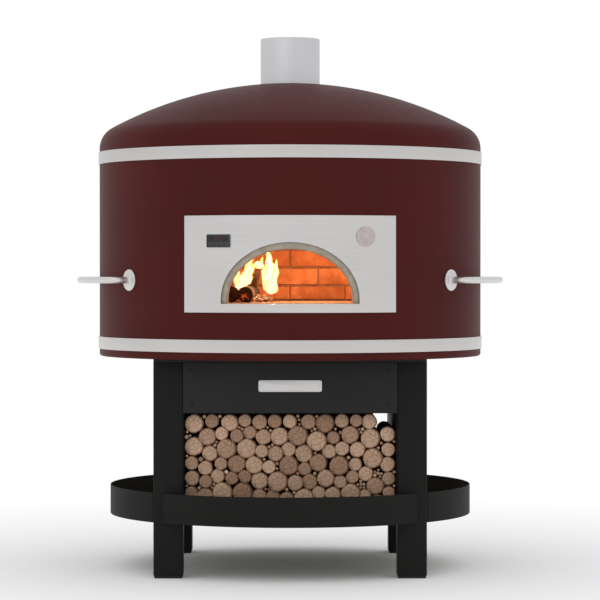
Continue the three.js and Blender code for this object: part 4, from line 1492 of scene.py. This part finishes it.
def make_floor():
    """A pale floor that runs out to white."""
    bm = bmesh.new()
    reach = 60.0
    corners = [bm.verts.new((x * reach, y * reach, 0.0)) for x, y in ((-1, -1), (1, -1), (1, 1), (-1, 1))]
    bm.faces.new(corners)
    mesh = bpy.data.meshes.new("floor")
    bm.to_mesh(mesh)
    bm.free()
    look = Look("studio_floor")
    away = look.node("VectorMath", {0: look.place}, operation="LENGTH").outputs["Value"]
    fade = look.span(away, 0.0, 1.0, 0.45, 3.2)
    white = look.node("Emission", {"Color": (1.0, 1.0, 1.0, 1.0), "Strength": 1.0}).outputs["Emission"]
    shade = look.node("BsdfDiffuse", {"Color": (0.955, 0.96, 0.96, 1.0)}).outputs["BSDF"]
    mixed = look.node("MixShader", {0: fade, 1: shade, 2: white}).outputs["Shader"]
    look.links.new(mixed, look.nodes["Material Output"].inputs["Surface"])
    mesh.materials.append(look.material)
    floor = bpy.data.objects.new("floor", mesh)
    link(floor)


def make_world():
    """A white studio: pure white behind the object, slightly softer as light."""
    world = bpy.data.worlds.new("studio")
    world.use_nodes = True
    nodes, links = world.node_tree.nodes, world.node_tree.links
    seen = nodes.new("ShaderNodeLightPath").outputs["Is Camera Ray"]
    strength = nodes.new("ShaderNodeMapRange")
    links.new(seen, strength.inputs["Value"])
    strength.inputs["To Min"].default_value = 0.86
    strength.inputs["To Max"].default_value = 1.02
    background = nodes["Background"]
    background.inputs["Color"].default_value = (1.0, 1.0, 1.0, 1.0)
    links.new(strength.outputs["Result"], background.inputs["Strength"])
    bpy.context.scene.world = world


def add_light(name, kind, place, energy, size, colour=(1.0, 1.0, 1.0), aim=None):
    data = bpy.data.lights.new(name, kind)
    data.energy = energy
    data.color = colour
    if kind == "AREA":
        data.size = size
    else:
        data.shadow_soft_size = size
    light = bpy.data.objects.new(name, data)
    light.location = place
    if aim is not None:
        light.rotation_euler = (Vector(aim) - Vector(place)).to_track_quat("-Z", "Y").to_euler()
    link(light)


def make_lights():
    """A soft box from the upper left, and two lamps in the chamber that stand for the flames' light."""
    add_light("softbox", "AREA", (-2.5, -4.5, 5.0), 15.0, 4.0, aim=(0, 0, 1.0))
    fire = (1.0, 0.60, 0.32)
    add_light("fire_glow", "POINT", (-0.06, -0.12, 1.29), 9.6, 0.06, fire)
    add_light("fire_bounce", "POINT", (0.14, 0.02, 1.28), 8.4, 0.10, fire)


# ---------------------------------------------------------------- everything together

make_camera()
make_world()
make_floor()
make_lights()
make_legs()
make_stand_panels()
make_tray()
make_name_plate()
make_firewood()
make_shells()
make_bands()
make_front_plate()
make_mouth_arch()
make_chamber()
make_hearth()
make_fire()
make_controller()
make_badge()
make_flue()
make_damper()
make_rails()
make_gland()
dress_hidden_nodes()

bpy.context.scene.view_settings.view_transform = "Standard"
